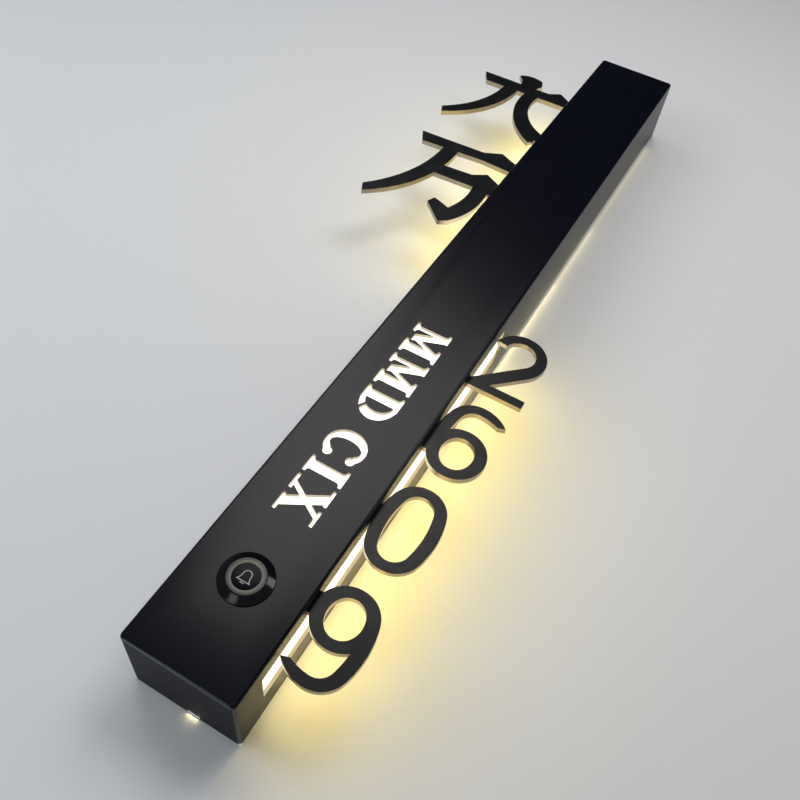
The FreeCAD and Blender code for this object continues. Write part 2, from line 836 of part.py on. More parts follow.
UPPER_STROKE_SHARES = [
    # dot on top
    [(0.385, 0.955), (0.50, 1.0, "by"), (0.625, 0.975), (0.655, 0.90), (0.61, 0.80), (0.47, 0.80), (0.44, 0.895)],
    # long bar with a pointed end
    [(0.07, 0.82), (0.62, 0.83), (0.76, 0.835), (0.86, 0.90), (1.00, 0.815), (1.00, 0.715), (0.80, 0.715),
     (0.45, 0.70), (0.145, 0.69)],
    # falling leg on the left
    [(0.335, 0.75), (0.475, 0.75), (0.37, 0.33, "by"), (0.035, 0.00), (0.00, 0.075), (0.245, 0.36, "by")],
    # falling leg on the right
    [(0.565, 0.75), (0.71, 0.75), (0.79, 0.34, "by"), (1.00, 0.20), (1.00, 0.09), (0.96, 0.085), (0.92, 0.035),
     (0.64, 0.30, "by")],
]
LOWER_STROKE_SHARES = [
    # top bar with a pointed end
    [(0.05, 0.90), (0.66, 0.93), (0.81, 1.00), (1.00, 0.93), (1.00, 0.825), (0.70, 0.835), (0.115, 0.79)],
    # long falling stroke
    [(0.32, 0.85), (0.46, 0.85), (0.405, 0.43, "by"), (0.045, 0.00), (0.00, 0.075), (0.265, 0.46, "by")],
    # bar that turns down into a hook
    [(0.36, 0.60), (0.72, 0.63), (0.835, 0.70), (1.00, 0.625), (1.00, 0.515), (0.945, 0.48), (0.935, 0.25, "by"),
     (0.83, 0.06), (0.76, 0.02), (0.57, 0.17), (0.60, 0.235), (0.755, 0.19), (0.805, 0.33, "by"), (0.80, 0.505),
     (0.36, 0.485)],
]


def stroke(sketch, corners, passing):
    """Closed outline through corners; a passing point bends its edge into an arc."""
    count = len(corners)
    for index in range(count):
        following = (index + 1) % count
        if passing[index]:
            continue
        if passing[following]:
            beyond = (index + 2) % count
            sketch.addGeometry(Part.Arc(corners[index], corners[following], corners[beyond]))
        else:
            sketch.addGeometry(Part.LineSegment(corners[index], corners[following]))


def make_character(label, height, stroke_shares):
    body = new_body(label)
    bind_place(body, x="-" + RIGHT, y=PLATE_REAR, z=TONGUES[label][1])
    width = size("character_width")
    tall = size(height)
    for shares in stroke_shares:
        sketch = new_sketch(body, "XZ_Plane")
        corners = [vector(width * (share[0] - 1), tall * (share[1] - 0.5), 0) for share in shares]
        stroke(sketch, corners, [len(share) > 2 for share in shares])
        pad(body, sketch, "numeral_thickness")
    add_tongues(body, "left")
    return body


# Light strips on the back plate and on a channel

def channel_screw_places():
    """Places of the channel's screws: both feet, near each end and in the middle."""
    heights = [low("channel_start + channel_screw_inset"),
               low("channel_start + %s / 2" % CHANNEL_LENGTH),
               low("channel_start + %s - channel_screw_inset" % CHANNEL_LENGTH)]
    return [(side + "channel_screw_offset", up) for up in heights for side in ("-", "")]


def make_channel():
    body = new_body("led_channel")
    half = "channel_width / 2"
    foot = CHANNEL_FOOT
    thin = "(channel_width / 2 - channel_wall)"
    sketch = new_sketch(body, "XY_Plane")
    crest = BACK_FRONT + " - channel_height"
    step = BACK_FRONT + " - channel_wall"
    right = [(thin, BACK_FRONT), (foot, BACK_FRONT), (foot, step), (half, step), (half, crest)]
    left = [("-" + across, up) for across, up in reversed(right)]
    under = crest + " + channel_wall"
    outline(sketch, right + left + [("-" + thin, under), (thin, under)])
    pad(body, sketch, CHANNEL_LENGTH)
    bind_place(body, z=low("channel_start"))
    sketch = new_sketch(body, "XZ_Plane")
    for across, up in channel_screw_places():
        small_hole(sketch, across, "%s - (%s)" % (up, low("channel_start")), "channel_screw_radius + fit_gap")
    pocket(body, sketch, "channel_height", flip=True)
    return body


def make_channel_screws():
    screws = []
    for across, up in channel_screw_places():
        seat = BACK_FRONT + " - channel_wall"
        head = prism("channel_screw_head", across, seat, up, HEAD_SIDES, "channel_screw_head_radius",
                     "channel_screw_head_height", "-Y")
        shank = prism("channel_screw_shank", across, seat, up, SHANK_SIDES, "channel_screw_radius",
                      "channel_wall + back_thickness", "+Y")
        screws.append(fuse("channel_screw", [head, shank]))
    return group("channel_screws", screws)


def strip_ends(name):
    """Lowest and highest place of a light strip."""
    if name == "face":
        return low("words_start - diffuser_lap"), low("words_start + words_length + diffuser_lap")
    bottom, top = slot_ends(name)
    return bottom + " - side_strip_margin", top + " + side_strip_margin"


def strip_seat(name):
    """Middle x of a light strip and the y of the surface that it is stuck on."""
    if name == "face":
        return "0", BACK_FRONT + " - channel_height"
    return signed(name, "side_strip_offset + side_strip_width / 2"), BACK_FRONT


def make_strip(name):
    middle, seat = strip_seat(name)
    width = "face_strip_width" if name == "face" else "side_strip_width"
    return block(name + "_led_strip", ("%s - %s / 2" % (middle, width), "%s + %s / 2" % (middle, width)),
                 (seat + " - strip_thickness", seat), strip_ends(name))


def make_chips():
    """One light chip every pitch along the three strips."""
    chips = []
    for name in ("face", "right", "left"):
        middle, seat = strip_seat(name)
        bottom, top = strip_ends(name)
        count = int((size(top) - size(bottom)) / size("chip_pitch"))
        spare = "((%s) - (%s) - chip_pitch * %d) / 2" % (top, bottom, count - 1)
        front = seat + " - strip_thickness"
        for number in range(count):
            up = "%s + %s + chip_pitch * %d" % (bottom, spare, number)
            chips.append(block("chip", ("%s - chip_width / 2" % middle, "%s + chip_width / 2" % middle),
                               (front + " - chip_height", front),
                               ("%s - chip_length / 2" % up, "%s + chip_length / 2" % up)))
    return group("led_chips", chips)


# Regulator, terminal block and grommet

def make_regulator():
    """Potted block with bevelled edges away from the back plate."""
    item = block("regulator_block",
                 ("-" + REGULATOR_OUTER, "-" + REGULATOR_INNER),
                 (BACK_FRONT + " - regulator_height", BACK_FRONT),
                 (low("regulator_place - regulator_length / 2"), low("regulator_place + regulator_length / 2")))
    doc.recompute()
    bevelled = doc.addObject("Part::Chamfer", "led_regulator")
    bevelled.Base = item
    bevel = size("regulator_edge")
    rear = size(BACK_FRONT)
    bevelled.Edges = [(number, bevel, bevel) for number, edge in enumerate(item.Shape.Edges, start=1)
                      if edge.BoundBox.YMin < rear - bevel]
    return bevelled


BLOCK_HOLE_SHARES = (-0.375, -0.125, 0.125, 0.375)


def block_holes():
    """Middle x of each of the four wire places of the terminal block."""
    return ["block_width * %s" % share for share in BLOCK_HOLE_SHARES]


MOUTH_Y = "(-back_thickness - block_mouth_height)"
BLOCK_LOW = low("block_place - block_length / 2")
BLOCK_HIGH = low("block_place + block_length / 2")


def make_terminal_block():
    """Stepped block: a screw over each wire place, wire mouths in both ends."""
    body = new_body("terminal_block")
    sketch = new_sketch(body, "YZ_Plane")
    outline(sketch, [
        (BACK_FRONT, BLOCK_LOW),
        (BACK_FRONT, BLOCK_HIGH),
        (BACK_FRONT + " - block_step_height", BLOCK_HIGH),
        (BACK_FRONT + " - block_height", BLOCK_HIGH + " - block_step"),
        (BACK_FRONT + " - block_height", BLOCK_LOW + " + block_step"),
        (BACK_FRONT + " - block_step_height", BLOCK_LOW),
    ])
    feature = pad(body, sketch, "block_width")
    feature.Midplane = True
    doc.recompute()
    sketch = new_sketch(body, "XZ_Plane")
    for across in block_holes():
        small_hole(sketch, across, low("block_place"), "block_screw_radius + fit_gap")
    pocket(body, sketch, "back_thickness + block_height", flip=True)
    for flip, edge in ((False, BLOCK_LOW), (True, BLOCK_HIGH)):
        sketch = new_sketch(body, "XY_Plane")
        bind(sketch, "AttachmentOffset.Base.z", edge + (" - block_mouth_depth" if flip else " + block_mouth_depth"))
        for across in block_holes():
            rectangle(sketch, "%s - lead_radius - fit_gap" % across, "%s + lead_radius + fit_gap" % across,
                      MOUTH_Y + " - lead_radius - fit_gap", MOUTH_Y + " + lead_radius + fit_gap")
        pocket(body, sketch, "block_length", flip=flip)
    return body


def make_terminal_screws():
    """Slotless set screws sunk in the block; their drive is cut by the visual work."""
    screws = []
    for across in block_holes():
        screws.append(prism("terminal_screw", across, BACK_FRONT + " - block_height + block_screw_drop",
                            low("block_place"), SHANK_SIDES, "block_screw_radius", "block_screw_depth", "+Y"))
    return group("terminal_screws", screws)


def make_grommet():
    return revolve("cable_grommet", [
        ("grommet_bore_radius", "0"),
        ("cable_hole_radius - fit_gap", "0"),
        ("cable_hole_radius - fit_gap", BACK_FRONT),
        ("grommet_lip_radius", BACK_FRONT),
        ("grommet_lip_radius", BACK_FRONT + " - grommet_lip"),
        ("grommet_bore_radius", BACK_FRONT + " - grommet_lip"),
    ], z=low("cable_hole_place"))


# Bell push

BEZEL_FRONT = "(-housing_depth - bezel_height)"
RING_FRONT = "(ring_recess - housing_depth - bezel_height)"
RING_REAR = "(ring_recess + ring_length - housing_depth - bezel_height)"
CAP_FRONT = "(cap_recess - housing_depth - bezel_height)"
COLLAR_FRONT = "(%s + cap_collar_gap)" % RING_REAR
COLLAR_REAR = "(%s + cap_collar_height)" % COLLAR_FRONT
SHANK_END = "(shank_length - housing_depth)"
BASE_FRONT = "(%s - base_length + base_flange_height)" % SHANK_END


def make_button_body():
    """Bezel with a wide sloping rim, a shank, a seat for the ring and a rebate for the seal."""
    return revolve("button_body", [
        ("ring_radius + ring_gap", BEZEL_FRONT),
        ("bezel_crown_radius", BEZEL_FRONT),
        ("bezel_radius", BEZEL_FRONT + " + bezel_slope"),
        ("bezel_radius", FACE),
        ("seal_radius + ring_gap", FACE),
        ("seal_radius + ring_gap", FACE + " - seal_thickness"),
        ("shank_radius", FACE + " - seal_thickness"),
        ("shank_radius", SHANK_END),
        ("chamber_radius", SHANK_END),
        ("chamber_radius", RING_REAR),
        ("ring_radius + ring_gap", RING_REAR),
    ], z=BUTTON_Z)


def make_button_ring():
    return revolve("button_ring", [
        ("ring_bore_radius", RING_FRONT),
        ("ring_radius", RING_FRONT),
        ("ring_radius", RING_REAR),
        ("ring_bore_radius", RING_REAR),
    ], z=BUTTON_Z)


def make_button_cap():
    """Pushed cap: a collar behind the ring keeps it in, a plunger works the contact."""
    return revolve("button_cap", [
        ("0", CAP_FRONT),
        ("cap_radius - cap_edge", CAP_FRONT),
        ("cap_radius", CAP_FRONT + " + cap_edge"),
        ("cap_radius", COLLAR_FRONT),
        ("cap_collar_radius", COLLAR_FRONT),
        ("cap_collar_radius", COLLAR_REAR),
        ("plunger_radius", COLLAR_REAR),
        ("plunger_radius", COLLAR_REAR + " + plunger_length"),
        ("0", COLLAR_REAR + " + plunger_length"),
    ], z=BUTTON_Z)


def make_button_base():
    """Plug in the shank's rear with a well for the plunger."""
    return revolve("button_base", [
        ("0", BASE_FRONT + " + well_depth"),
        ("well_radius", BASE_FRONT + " + well_depth"),
        ("well_radius", BASE_FRONT),
        ("chamber_radius - base_gap", BASE_FRONT),
        ("chamber_radius - base_gap", SHANK_END),
        ("base_flange_radius", SHANK_END),
        ("base_flange_radius", SHANK_END + " + base_flange_height"),
        ("0", SHANK_END + " + base_flange_height"),
    ], z=BUTTON_Z)


def make_button_seal():
    return revolve("button_seal", [
        ("shank_radius + ring_gap", FACE + " - seal_thickness"),
        ("seal_radius", FACE + " - seal_thickness"),
        ("seal_radius", FACE),
        ("shank_radius + ring_gap", FACE),
    ], z=BUTTON_Z)


def make_button_nut():
    body = new_body("button_nut")
    sketch = new_sketch(body, "XZ_Plane")
    corners = []
    for step in range(6):
        angle = 30 + 60 * step
        corners.append(("nut_flats / sqrt(3) * cos(%d deg)" % angle,
                        "nut_flats / sqrt(3) * sin(%d deg)" % angle))
    corners = [("0" if abs(size(x)) < 1e-9 else x, "0" if abs(size(y)) < 1e-9 else y) for x, y in corners]
    outline(sketch, corners)
    circle(sketch, "0", "0", "shank_radius + nut_gap")
    pad(body, sketch, "nut_thickness")
    bind_place(body, y=FACE_INNER + " + nut_thickness", z=BUTTON_Z)
    doc.recompute()
    return body


def make_button_blades():
    blades = []
    start = SHANK_END + " + base_flange_height"
    for x_side in ("-", ""):
        for z_side in ("- ", "+ "):
            x = x_side + "blade_offset"
            z = "%s %sblade_offset" % (BUTTON_Z, z_side)
            blades.append(block("blade", ("%s - blade_thickness / 2" % x, "%s + blade_thickness / 2" % x),
                                (start, start + " + blade_length"),
                                ("%s - blade_width / 2" % z, "%s + blade_width / 2" % z)))
    return group("button_terminals", blades)


def ring(centre, heading, radius, steady):
    """Corners of a six-sided section about a centre, square to a heading."""
    across = heading.cross(steady)
    across.normalize()
    upward = heading.cross(across)
    upward.normalize()
    corners = []
    for step in range(WIRE_SIDES):
        angle = 2 * math.pi * step / WIRE_SIDES
        corners.append(centre + across * (radius * math.cos(angle)) + upward * (radius * math.sin(angle)))
    return corners


def skin(rings):
    """Solid through a row of sections, closed at both ends."""
    faces = [Part.Face(Part.makePolygon(end + end[:1])) for end in (rings[0], rings[-1])]
    for before, after in zip(rings, rings[1:]):
        for side in range(WIRE_SIDES):
            following = (side + 1) % WIRE_SIDES
            corner = after[following]
            faces.append(Part.Face(Part.makePolygon([before[side], before[following], corner, before[side]])))
            faces.append(Part.Face(Part.makePolygon([before[side], corner, after[side], before[side]])))
    solid = Part.Solid(Part.Shell(faces))
    if solid.Volume < 0:
        solid.reverse()
    return solid


def make_spring():
    """Compression spring about the plunger, lofted through sections square to its coil."""
    radius = size("spring_radius")
    wire = size("spring_wire_radius")
    turns = int(size("spring_turns"))
    clear = wire + size("spring_end_gap")
    start = size(COLLAR_REAR) + clear
    rise = size(BASE_FRONT) - clear - start
    centre_z = size(BUTTON_Z)
    sections = []
    for step in range(turns * SPRING_STEPS + 1):
        angle = 2 * math.pi * step / SPRING_STEPS
        climb = rise * step / (turns * SPRING_STEPS)
        centre = vector(radius * math.cos(angle), start + climb, centre_z + radius * math.sin(angle))
        pitch_angle = rise / turns / (2 * math.pi * radius)
        heading = vector(-math.sin(angle), pitch_angle, math.cos(angle))
        sections.append(ring(centre, heading, wire, vector(0, 1, 0)))
    item = doc.addObject("Part::Feature", "button_spring")
    item.Shape = skin(sections)
    print("spring: least gap between turns %.2f mm" % (rise / turns - 2 * wire))
    return item


# Inner leads

def tube(points, radius):
    """Tube along straight runs joined by arcs as large as the runs allow."""
    heading = points[1] - points[0]
    heading.normalize()
    places = [(points[0], heading)]
    for before, corner, after in zip(points, points[1:], points[2:]):
        back = before - corner
        ahead = after - corner
        turn = math.pi - back.getAngle(ahead)
        reach = ARC_REACH_SHARE * min(back.Length, ahead.Length)
        bend = reach / math.tan(turn / 2)
        back.normalize()
        ahead.normalize()
        to_middle = back + ahead
        to_middle.normalize()
        hub = corner + to_middle * (bend / math.cos(turn / 2))
        spoke = corner + back * reach - hub
        axis = ahead.cross(back)
        for step in range(ARC_STEPS + 1):
            swing = FreeCAD.Rotation(axis, math.degrees(turn) * step / ARC_STEPS)
            places.append((hub + swing.multVec(spoke), swing.multVec(back * -1)))
        print("lead bend radius %.1f mm" % bend)
    places.append((points[-1], places[-1][1]))

    sideways = vector(1, 0, 0) if abs(heading.x) < abs(heading.y) else vector(0, 1, 0)
    sections = []
    for place, heading in places:
        sideways = sideways - heading * sideways.dot(heading)
        sideways.normalize()
        sections.append(ring(place, heading, radius, sideways))
    shape = skin(sections)
    length = sum((after[0] - before[0]).Length for before, after in zip(places, places[1:]))
    expected = length * Part.Face(Part.makePolygon(sections[0] + sections[0][:1])).Area
    if abs(shape.Volume - expected) > 0.02 * expected:
        raise RuntimeError("a lead has the wrong volume")
    return shape


def lead_feature(label, routes):
    radius = size("lead_radius")
    shapes = []
    for route in routes:
        shapes.append(tube([vector(size(x), size(y), size(z)) for x, y, z in route], radius))
    item = doc.addObject("Part::Feature", label)
    item.Shape = Part.makeCompound(shapes)
    return item


BLOCK_HOLES = block_holes()


def make_button_leads():
    """Lead from each upper blade of the push, back and up into the terminal block."""
    blade_end = SHANK_END + " + base_flange_height + blade_length"
    blade_up = BUTTON_Z + " + blade_offset"
    turn_up = BLOCK_LOW + " - lead_rise"
    routes = []
    for side, hole in (("-", BLOCK_HOLES[0]), ("", BLOCK_HOLES[3])):
        blade = side + "blade_offset"
        routes.append([
            (blade, blade_end, blade_up),
            (blade, blade_end + " + lead_rise", blade_up),
            (hole, MOUTH_Y, turn_up + " + lead_bend"),
            (hole, MOUTH_Y, BLOCK_LOW + " + block_mouth_depth / 2"),
        ])
    return lead_feature("button_leads", routes)


def make_strip_leads():
    """Two-core leads from the block to the strips, by way of the regulator for the left one."""
    mouth_low = BLOCK_LOW + " + block_mouth_depth / 2"
    mouth_high = BLOCK_HIGH + " - block_mouth_depth / 2"
    lie = BACK_FRONT + " - lead_radius - fit_gap"
    channel_end = low("channel_start")
    crest = BACK_FRONT + " - channel_height"
    right_end = strip_ends("right")[0]
    left_end = strip_ends("left")[0]
    right_middle = strip_seat("right")[0]
    left_middle = strip_seat("left")[0]
    run_x = "(side_strip_offset - lead_spread)"
    regulator_low = low("regulator_place - regulator_length / 2")
    regulator_high = low("regulator_place + regulator_length / 2")
    regulator_y = BACK_FRONT + " - regulator_height / 2"
    routes = [
        # front strip
        [
            (BLOCK_HOLES[2], MOUTH_Y, mouth_high),
            (BLOCK_HOLES[2], MOUTH_Y, BLOCK_HIGH + " + lead_rise"),
            (BLOCK_HOLES[2], crest + " - strip_thickness / 2", BLOCK_HIGH + " + lead_rise"),
            (BLOCK_HOLES[2], crest + " - strip_thickness / 2", channel_end),
        ],
        # right strip
        [
            (BLOCK_HOLES[2], MOUTH_Y, mouth_low),
            (BLOCK_HOLES[2], MOUTH_Y, BLOCK_LOW + " - lead_rise"),
            (run_x, lie, BLOCK_LOW + " - lead_drop"),
            (run_x, lie, right_end + " - lead_rise"),
            (right_middle, lie, right_end + " - lead_rise"),
            (right_middle, lie, right_end),
        ],
        # into the regulator and out of it again, one over the other
        [
            (BLOCK_HOLES[0], MOUTH_Y, mouth_high),
            (BLOCK_HOLES[0], MOUTH_Y, BLOCK_HIGH + " + lead_rise"),
            (REGULATOR_QUARTER + " - " + REGULATOR_MIDDLE, regulator_y, regulator_low + " - lead_rise"),
            (REGULATOR_QUARTER + " - " + REGULATOR_MIDDLE, regulator_y, regulator_low),
        ],
        [
            (BLOCK_HOLES[1], MOUTH_Y, mouth_high),
            (BLOCK_HOLES[1], MOUTH_Y, BLOCK_HIGH + " + lead_low_rise"),
            ("-channel_width / 2 - lead_spread", MOUTH_Y + " - lead_rise", channel_end + " - lead_bend"),
            ("-%s - %s" % (REGULATOR_MIDDLE, REGULATOR_QUARTER), regulator_y, regulator_low + " - lead_rise"),
            ("-%s - %s" % (REGULATOR_MIDDLE, REGULATOR_QUARTER), regulator_y, regulator_low),
        ],
        # left strip
        [
            ("-" + REGULATOR_MIDDLE, regulator_y, regulator_high),
            ("-" + REGULATOR_MIDDLE, regulator_y, regulator_high + " + lead_rise"),
            (left_middle, lie, regulator_high + " + lead_climb"),
            (left_middle, lie, left_end),
        ],
    ]
    return lead_feature("strip_leads", routes)


# Assembly

def build():
    make_housing()
    make_back_plate()
    make_hook_bracket()
    make_end_screws()
    for side in ("right", "left"):
        make_side_diffuser(side)
        make_rail(side)
    make_face_diffuser()
    make_plate_screws()
    make_zero()
    make_looped("numeral_nine", turned=False)
    make_looped("numeral_six", turned=True)
    make_two()
    make_character("upper_character", "upper_character_height", UPPER_STROKE_SHARES)
    make_character("lower_character", "lower_character_height", LOWER_STROKE_SHARES)
    make_channel()
    make_channel_screws()
    for name in ("face", "right", "left"):
        make_strip(name)
    make_chips()
    make_regulator()
    make_terminal_block()
    make_terminal_screws()
    make_grommet()
    make_button_body()
    make_button_ring()
    make_button_cap()
    make_button_base()
    make_button_seal()
    make_button_nut()
    make_button_blades()
    make_spring()
    make_button_leads()
    make_strip_leads()


NODES = [
    "front_housing", "back_plate", "hook_bracket", "end_screws",
    "right_diffuser", "left_diffuser", "face_diffuser", "right_rail", "left_rail", "plate_screws",
    "numeral_two", "numeral_six", "numeral_zero", "numeral_nine", "upper_character", "lower_character",
    "led_channel", "channel_screws", "face_led_strip", "right_led_strip", "left_led_strip", "led_chips",
    "led_regulator", "terminal_block", "terminal_screws", "cable_grommet",
    "button_body", "button_ring", "button_cap", "button_base", "button_seal", "button_nut",
    "button_terminals", "button_spring", "button_leads", "strip_leads",
]

build()
doc.recompute()

for item in doc.Objects:
    if "Invalid" in item.State or "Error" in item.State:
        raise RuntimeError("%s failed: %s" % (item.Label, item.State))

os.makedirs("parts", exist_ok=True)
for name in NODES:
    found = [item for item in doc.Objects if item.Label == name]
    shape = found[0].Shape
    if shape.isNull() or not shape.isValid() or not shape.Solids:
        raise RuntimeError("%s has no sound solid" % name)
    shape.exportStep("parts/%s.step" % name)
    print("%-18s %2d solids %10.1f mm3" % (name, len(shape.Solids), shape.Volume))
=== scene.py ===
# %% [markdown]
# # An illuminated door number sign
#
# The sign is a long black box on a wall. Light leaves it through a slot in each
# side, through the words cut in its face and through a thin gap behind it. Numeral
# plates stand out on the right and two larger plates on the left. A bell push sits
# near the bottom.
#
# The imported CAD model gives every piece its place, in metres, with +Z up and -Y
# towards the viewer. This lesson dresses that model piece by piece: the camera comes
# first, then the finishes, then the pieces that need more shape than their solids
# have, and the wall and the light last.

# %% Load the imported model
import math

import bmesh
import bpy
from mathutils import Matrix, Vector


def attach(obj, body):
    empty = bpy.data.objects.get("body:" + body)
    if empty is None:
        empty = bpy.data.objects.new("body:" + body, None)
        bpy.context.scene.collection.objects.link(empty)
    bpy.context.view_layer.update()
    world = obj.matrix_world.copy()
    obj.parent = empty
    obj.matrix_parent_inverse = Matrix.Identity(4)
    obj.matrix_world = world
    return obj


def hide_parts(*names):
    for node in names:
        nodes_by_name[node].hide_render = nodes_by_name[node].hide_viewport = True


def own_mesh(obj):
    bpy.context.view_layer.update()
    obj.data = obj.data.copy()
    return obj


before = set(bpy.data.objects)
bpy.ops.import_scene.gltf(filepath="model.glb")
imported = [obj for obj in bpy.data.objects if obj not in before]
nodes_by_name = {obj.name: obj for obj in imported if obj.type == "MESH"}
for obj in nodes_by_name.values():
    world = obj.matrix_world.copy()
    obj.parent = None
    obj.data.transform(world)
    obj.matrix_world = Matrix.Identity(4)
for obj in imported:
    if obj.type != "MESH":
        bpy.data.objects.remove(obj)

MM = 0.001
scene = bpy.context.scene
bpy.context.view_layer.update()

# %% [markdown]
# Four sizes of the housing come up again and again. They are in millimetres, counted
# from the origin, which is the sign's middle on the wall.

# %% Sizes of the housing
HOUSING_BOTTOM = -250.0
HALF_WIDTH = 25.5
FACE_Y = -40.0
SHEET = 1.5
print("housing:", 2 * HALF_WIDTH, "mm wide and", -FACE_Y, "mm deep, of", SHEET, "mm sheet")

# %% [markdown]
# ## Camera
#
# The photograph was taken from in front of the sign's lower end and a little to its
# right, with the camera rolled. Its place and turn were worked out from the eight
# corners of the housing, so they are plain numbers here: where the lens is, and which
# ways its right and up axes point.

# %% Place the camera
CAMERA_PLACE = Vector((98.098, -332.884, -318.619)) * MM
CAMERA_RIGHT = Vector((0.86677, -0.09385, 0.48979))
CAMERA_UP = Vector((-0.43476, -0.62334, 0.64994))
CAMERA_LENS = 37.467

camera_data = bpy.data.cameras.new("camera")
camera_data.lens = CAMERA_LENS
camera_data.sensor_width = 36.0
camera_data.clip_start = 0.01
camera_data.clip_end = 50.0
camera = bpy.data.objects.new("camera", camera_data)
camera_back = CAMERA_RIGHT.cross(CAMERA_UP).normalized()
turn = Matrix((CAMERA_RIGHT, CAMERA_UP, camera_back)).transposed().to_4x4()
camera.matrix_world = Matrix.Translation(CAMERA_PLACE) @ turn
scene.collection.objects.link(camera)
scene.camera = camera
scene.view_settings.view_transform = "Standard"
print("camera is", round(CAMERA_PLACE.length / MM), "mm from the sign's middle")

# %% [markdown]
# ## A small kit for finishes
#
# Every finish is a node tree. A few small functions come first, because the geometry
# recipes, the wall and the room further down use them as well.

# %% Node functions
def feed(tree, socket, value):
    """Feed a socket from another socket, or give it a plain value."""
    if isinstance(value, bpy.types.NodeSocket):
        tree.links.new(value, socket)
    else:
        socket.default_value = value


def add_node(tree, kind, **inputs):
    """Add a node. An underscore in an input's name stands for a space."""
    node = tree.nodes.new(kind)
    for label, value in inputs.items():
        for item in value if isinstance(value, list) else [value]:
            feed(tree, node.inputs[label.replace("_", " ")], item)
    return node


def math_node(tree, operation, first, second):
    node = tree.nodes.new("ShaderNodeMath")
    node.operation = operation
    feed(tree, node.inputs[0], first)
    feed(tree, node.inputs[1], second)
    return node.outputs[0]


def map_range(tree, value, from_low, from_high, low, high, kind="LINEAR"):
    node = add_node(tree, "ShaderNodeMapRange", Value=value, From_Min=from_low,
                    From_Max=from_high, To_Min=low, To_Max=high)
    node.interpolation_type = kind
    return node.outputs["Result"]


def mix_shaders(tree, share, first, second, output):
    """Mix two shaders by a share and send the mix to the output of that name."""
    mix = tree.nodes.new("ShaderNodeMixShader")
    for socket, value in zip(mix.inputs, (share, first, second)):
        tree.links.new(value, socket)
    tree.links.new(mix.outputs[0], tree.nodes[output].inputs["Surface"])


print("node functions are ready")

# %% [markdown]
# Most finishes share the same few steps: a pattern that reads Object coordinates, a
# ramp that turns the pattern into a colour or a roughness, and a bump.

# %% The finish kit
class Finish:
    """A material with one Principled shader and helpers that feed it patterns."""

    def __init__(self, name, color, roughness, metallic=0.0):
        self.material = bpy.data.materials.new(name)
        self.material.use_nodes = True
        self.tree = self.material.node_tree
        self.shader = self.tree.nodes["Principled BSDF"]
        self.set("Base Color", (*color, 1.0))
        self.set("Roughness", roughness)
        self.set("Metallic", metallic)
        self.place = self.tree.nodes.new("ShaderNodeTexCoord").outputs["Object"]

    def set(self, socket, value):
        """Give the shader a plain value or a pattern."""
        feed(self.tree, self.shader.inputs[socket], value)
        return self

    def noise(self, scale, stretch=(1, 1, 1)):
        """Noise with this many spots a metre, drawn out along an axis by a stretch below 1."""
        mapping = add_node(self.tree, "ShaderNodeMapping", Vector=self.place, Scale=stretch)
        texture = add_node(self.tree, "ShaderNodeTexNoise", Vector=mapping.outputs["Vector"],
                           Scale=scale, Detail=3.0)
        return texture.outputs["Fac"]

    def cells(self, scale):
        """Cells with sharp borders, this many to the metre, each in its own shade."""
        texture = add_node(self.tree, "ShaderNodeTexVoronoi", Vector=self.place, Scale=scale)
        return texture.outputs["Color"]

    def along(self, axis):
        """The Object coordinate along X, Y or Z, in metres."""
        return add_node(self.tree, "ShaderNodeSeparateXYZ", Vector=self.place).outputs[axis]

    def ramp(self, pattern, low, high, from_low=0.3, from_high=0.7):
        """Turn a pattern into a number between low and high."""
        return map_range(self.tree, pattern, from_low, from_high, low, high)

    def tint(self, pattern, dark, light, from_low=0.3, from_high=0.7):
        """Turn a pattern into a colour between two colours."""
        node = add_node(self.tree, "ShaderNodeValToRGB", Fac=pattern)
        first, last = node.color_ramp.elements
        first.position, first.color = from_low, (*dark, 1.0)
        last.position, last.color = from_high, (*light, 1.0)
        return node.outputs["Color"]

    def color(self, output):
        return self.set("Base Color", output)

    def rough(self, output):
        return self.set("Roughness", output)

    def mottled(self, scale, dark, light):
        """A colour that wanders between two colours."""
        return self.color(self.tint(self.noise(scale), dark, light))

    def uneven(self, scale, low, high):
        """A roughness that wanders between two numbers."""
        return self.rough(self.ramp(self.noise(scale), low, high))

    def bump(self, pattern, depth_mm, strength):
        """Raise the surface by a pattern, on top of the bumps it has already."""
        node = add_node(self.tree, "ShaderNodeBump", Height=pattern, Strength=strength,
                        Distance=depth_mm * MM)
        for link_before in self.shader.inputs["Normal"].links:
            feed(self.tree, node.inputs["Normal"], link_before.from_socket)
        return self.set("Normal", node.outputs["Normal"])

    def wear(self, obj):
        """Put the finish on an object, in place of whatever it had."""
        obj.data.materials.clear()
        obj.data.materials.append(self.material)


print("the finish kit is ready")

# %% [markdown]
# ## The sign's own finishes
#
# The housing is sheet metal with a satin black coat. Along its length it shows faint
# brush lines, so its roughness comes from noise that is drawn out along Z. The side
# walls and the bottom end are duller than the face, and a mask for each raises the
# roughness there. The plates are the same black but flatter, with a fine grain.

# %% Black coats
SIDE_ROUGHNESS, END_ROUGHNESS = 0.36, 0.62
SIDE_STARTS, SIDE_FULL = (HALF_WIDTH - 0.3) * MM, (HALF_WIDTH - 0.05) * MM
END_FULL, END_STARTS = (HOUSING_BOTTOM + 0.1) * MM, (HOUSING_BOTTOM + 0.3) * MM

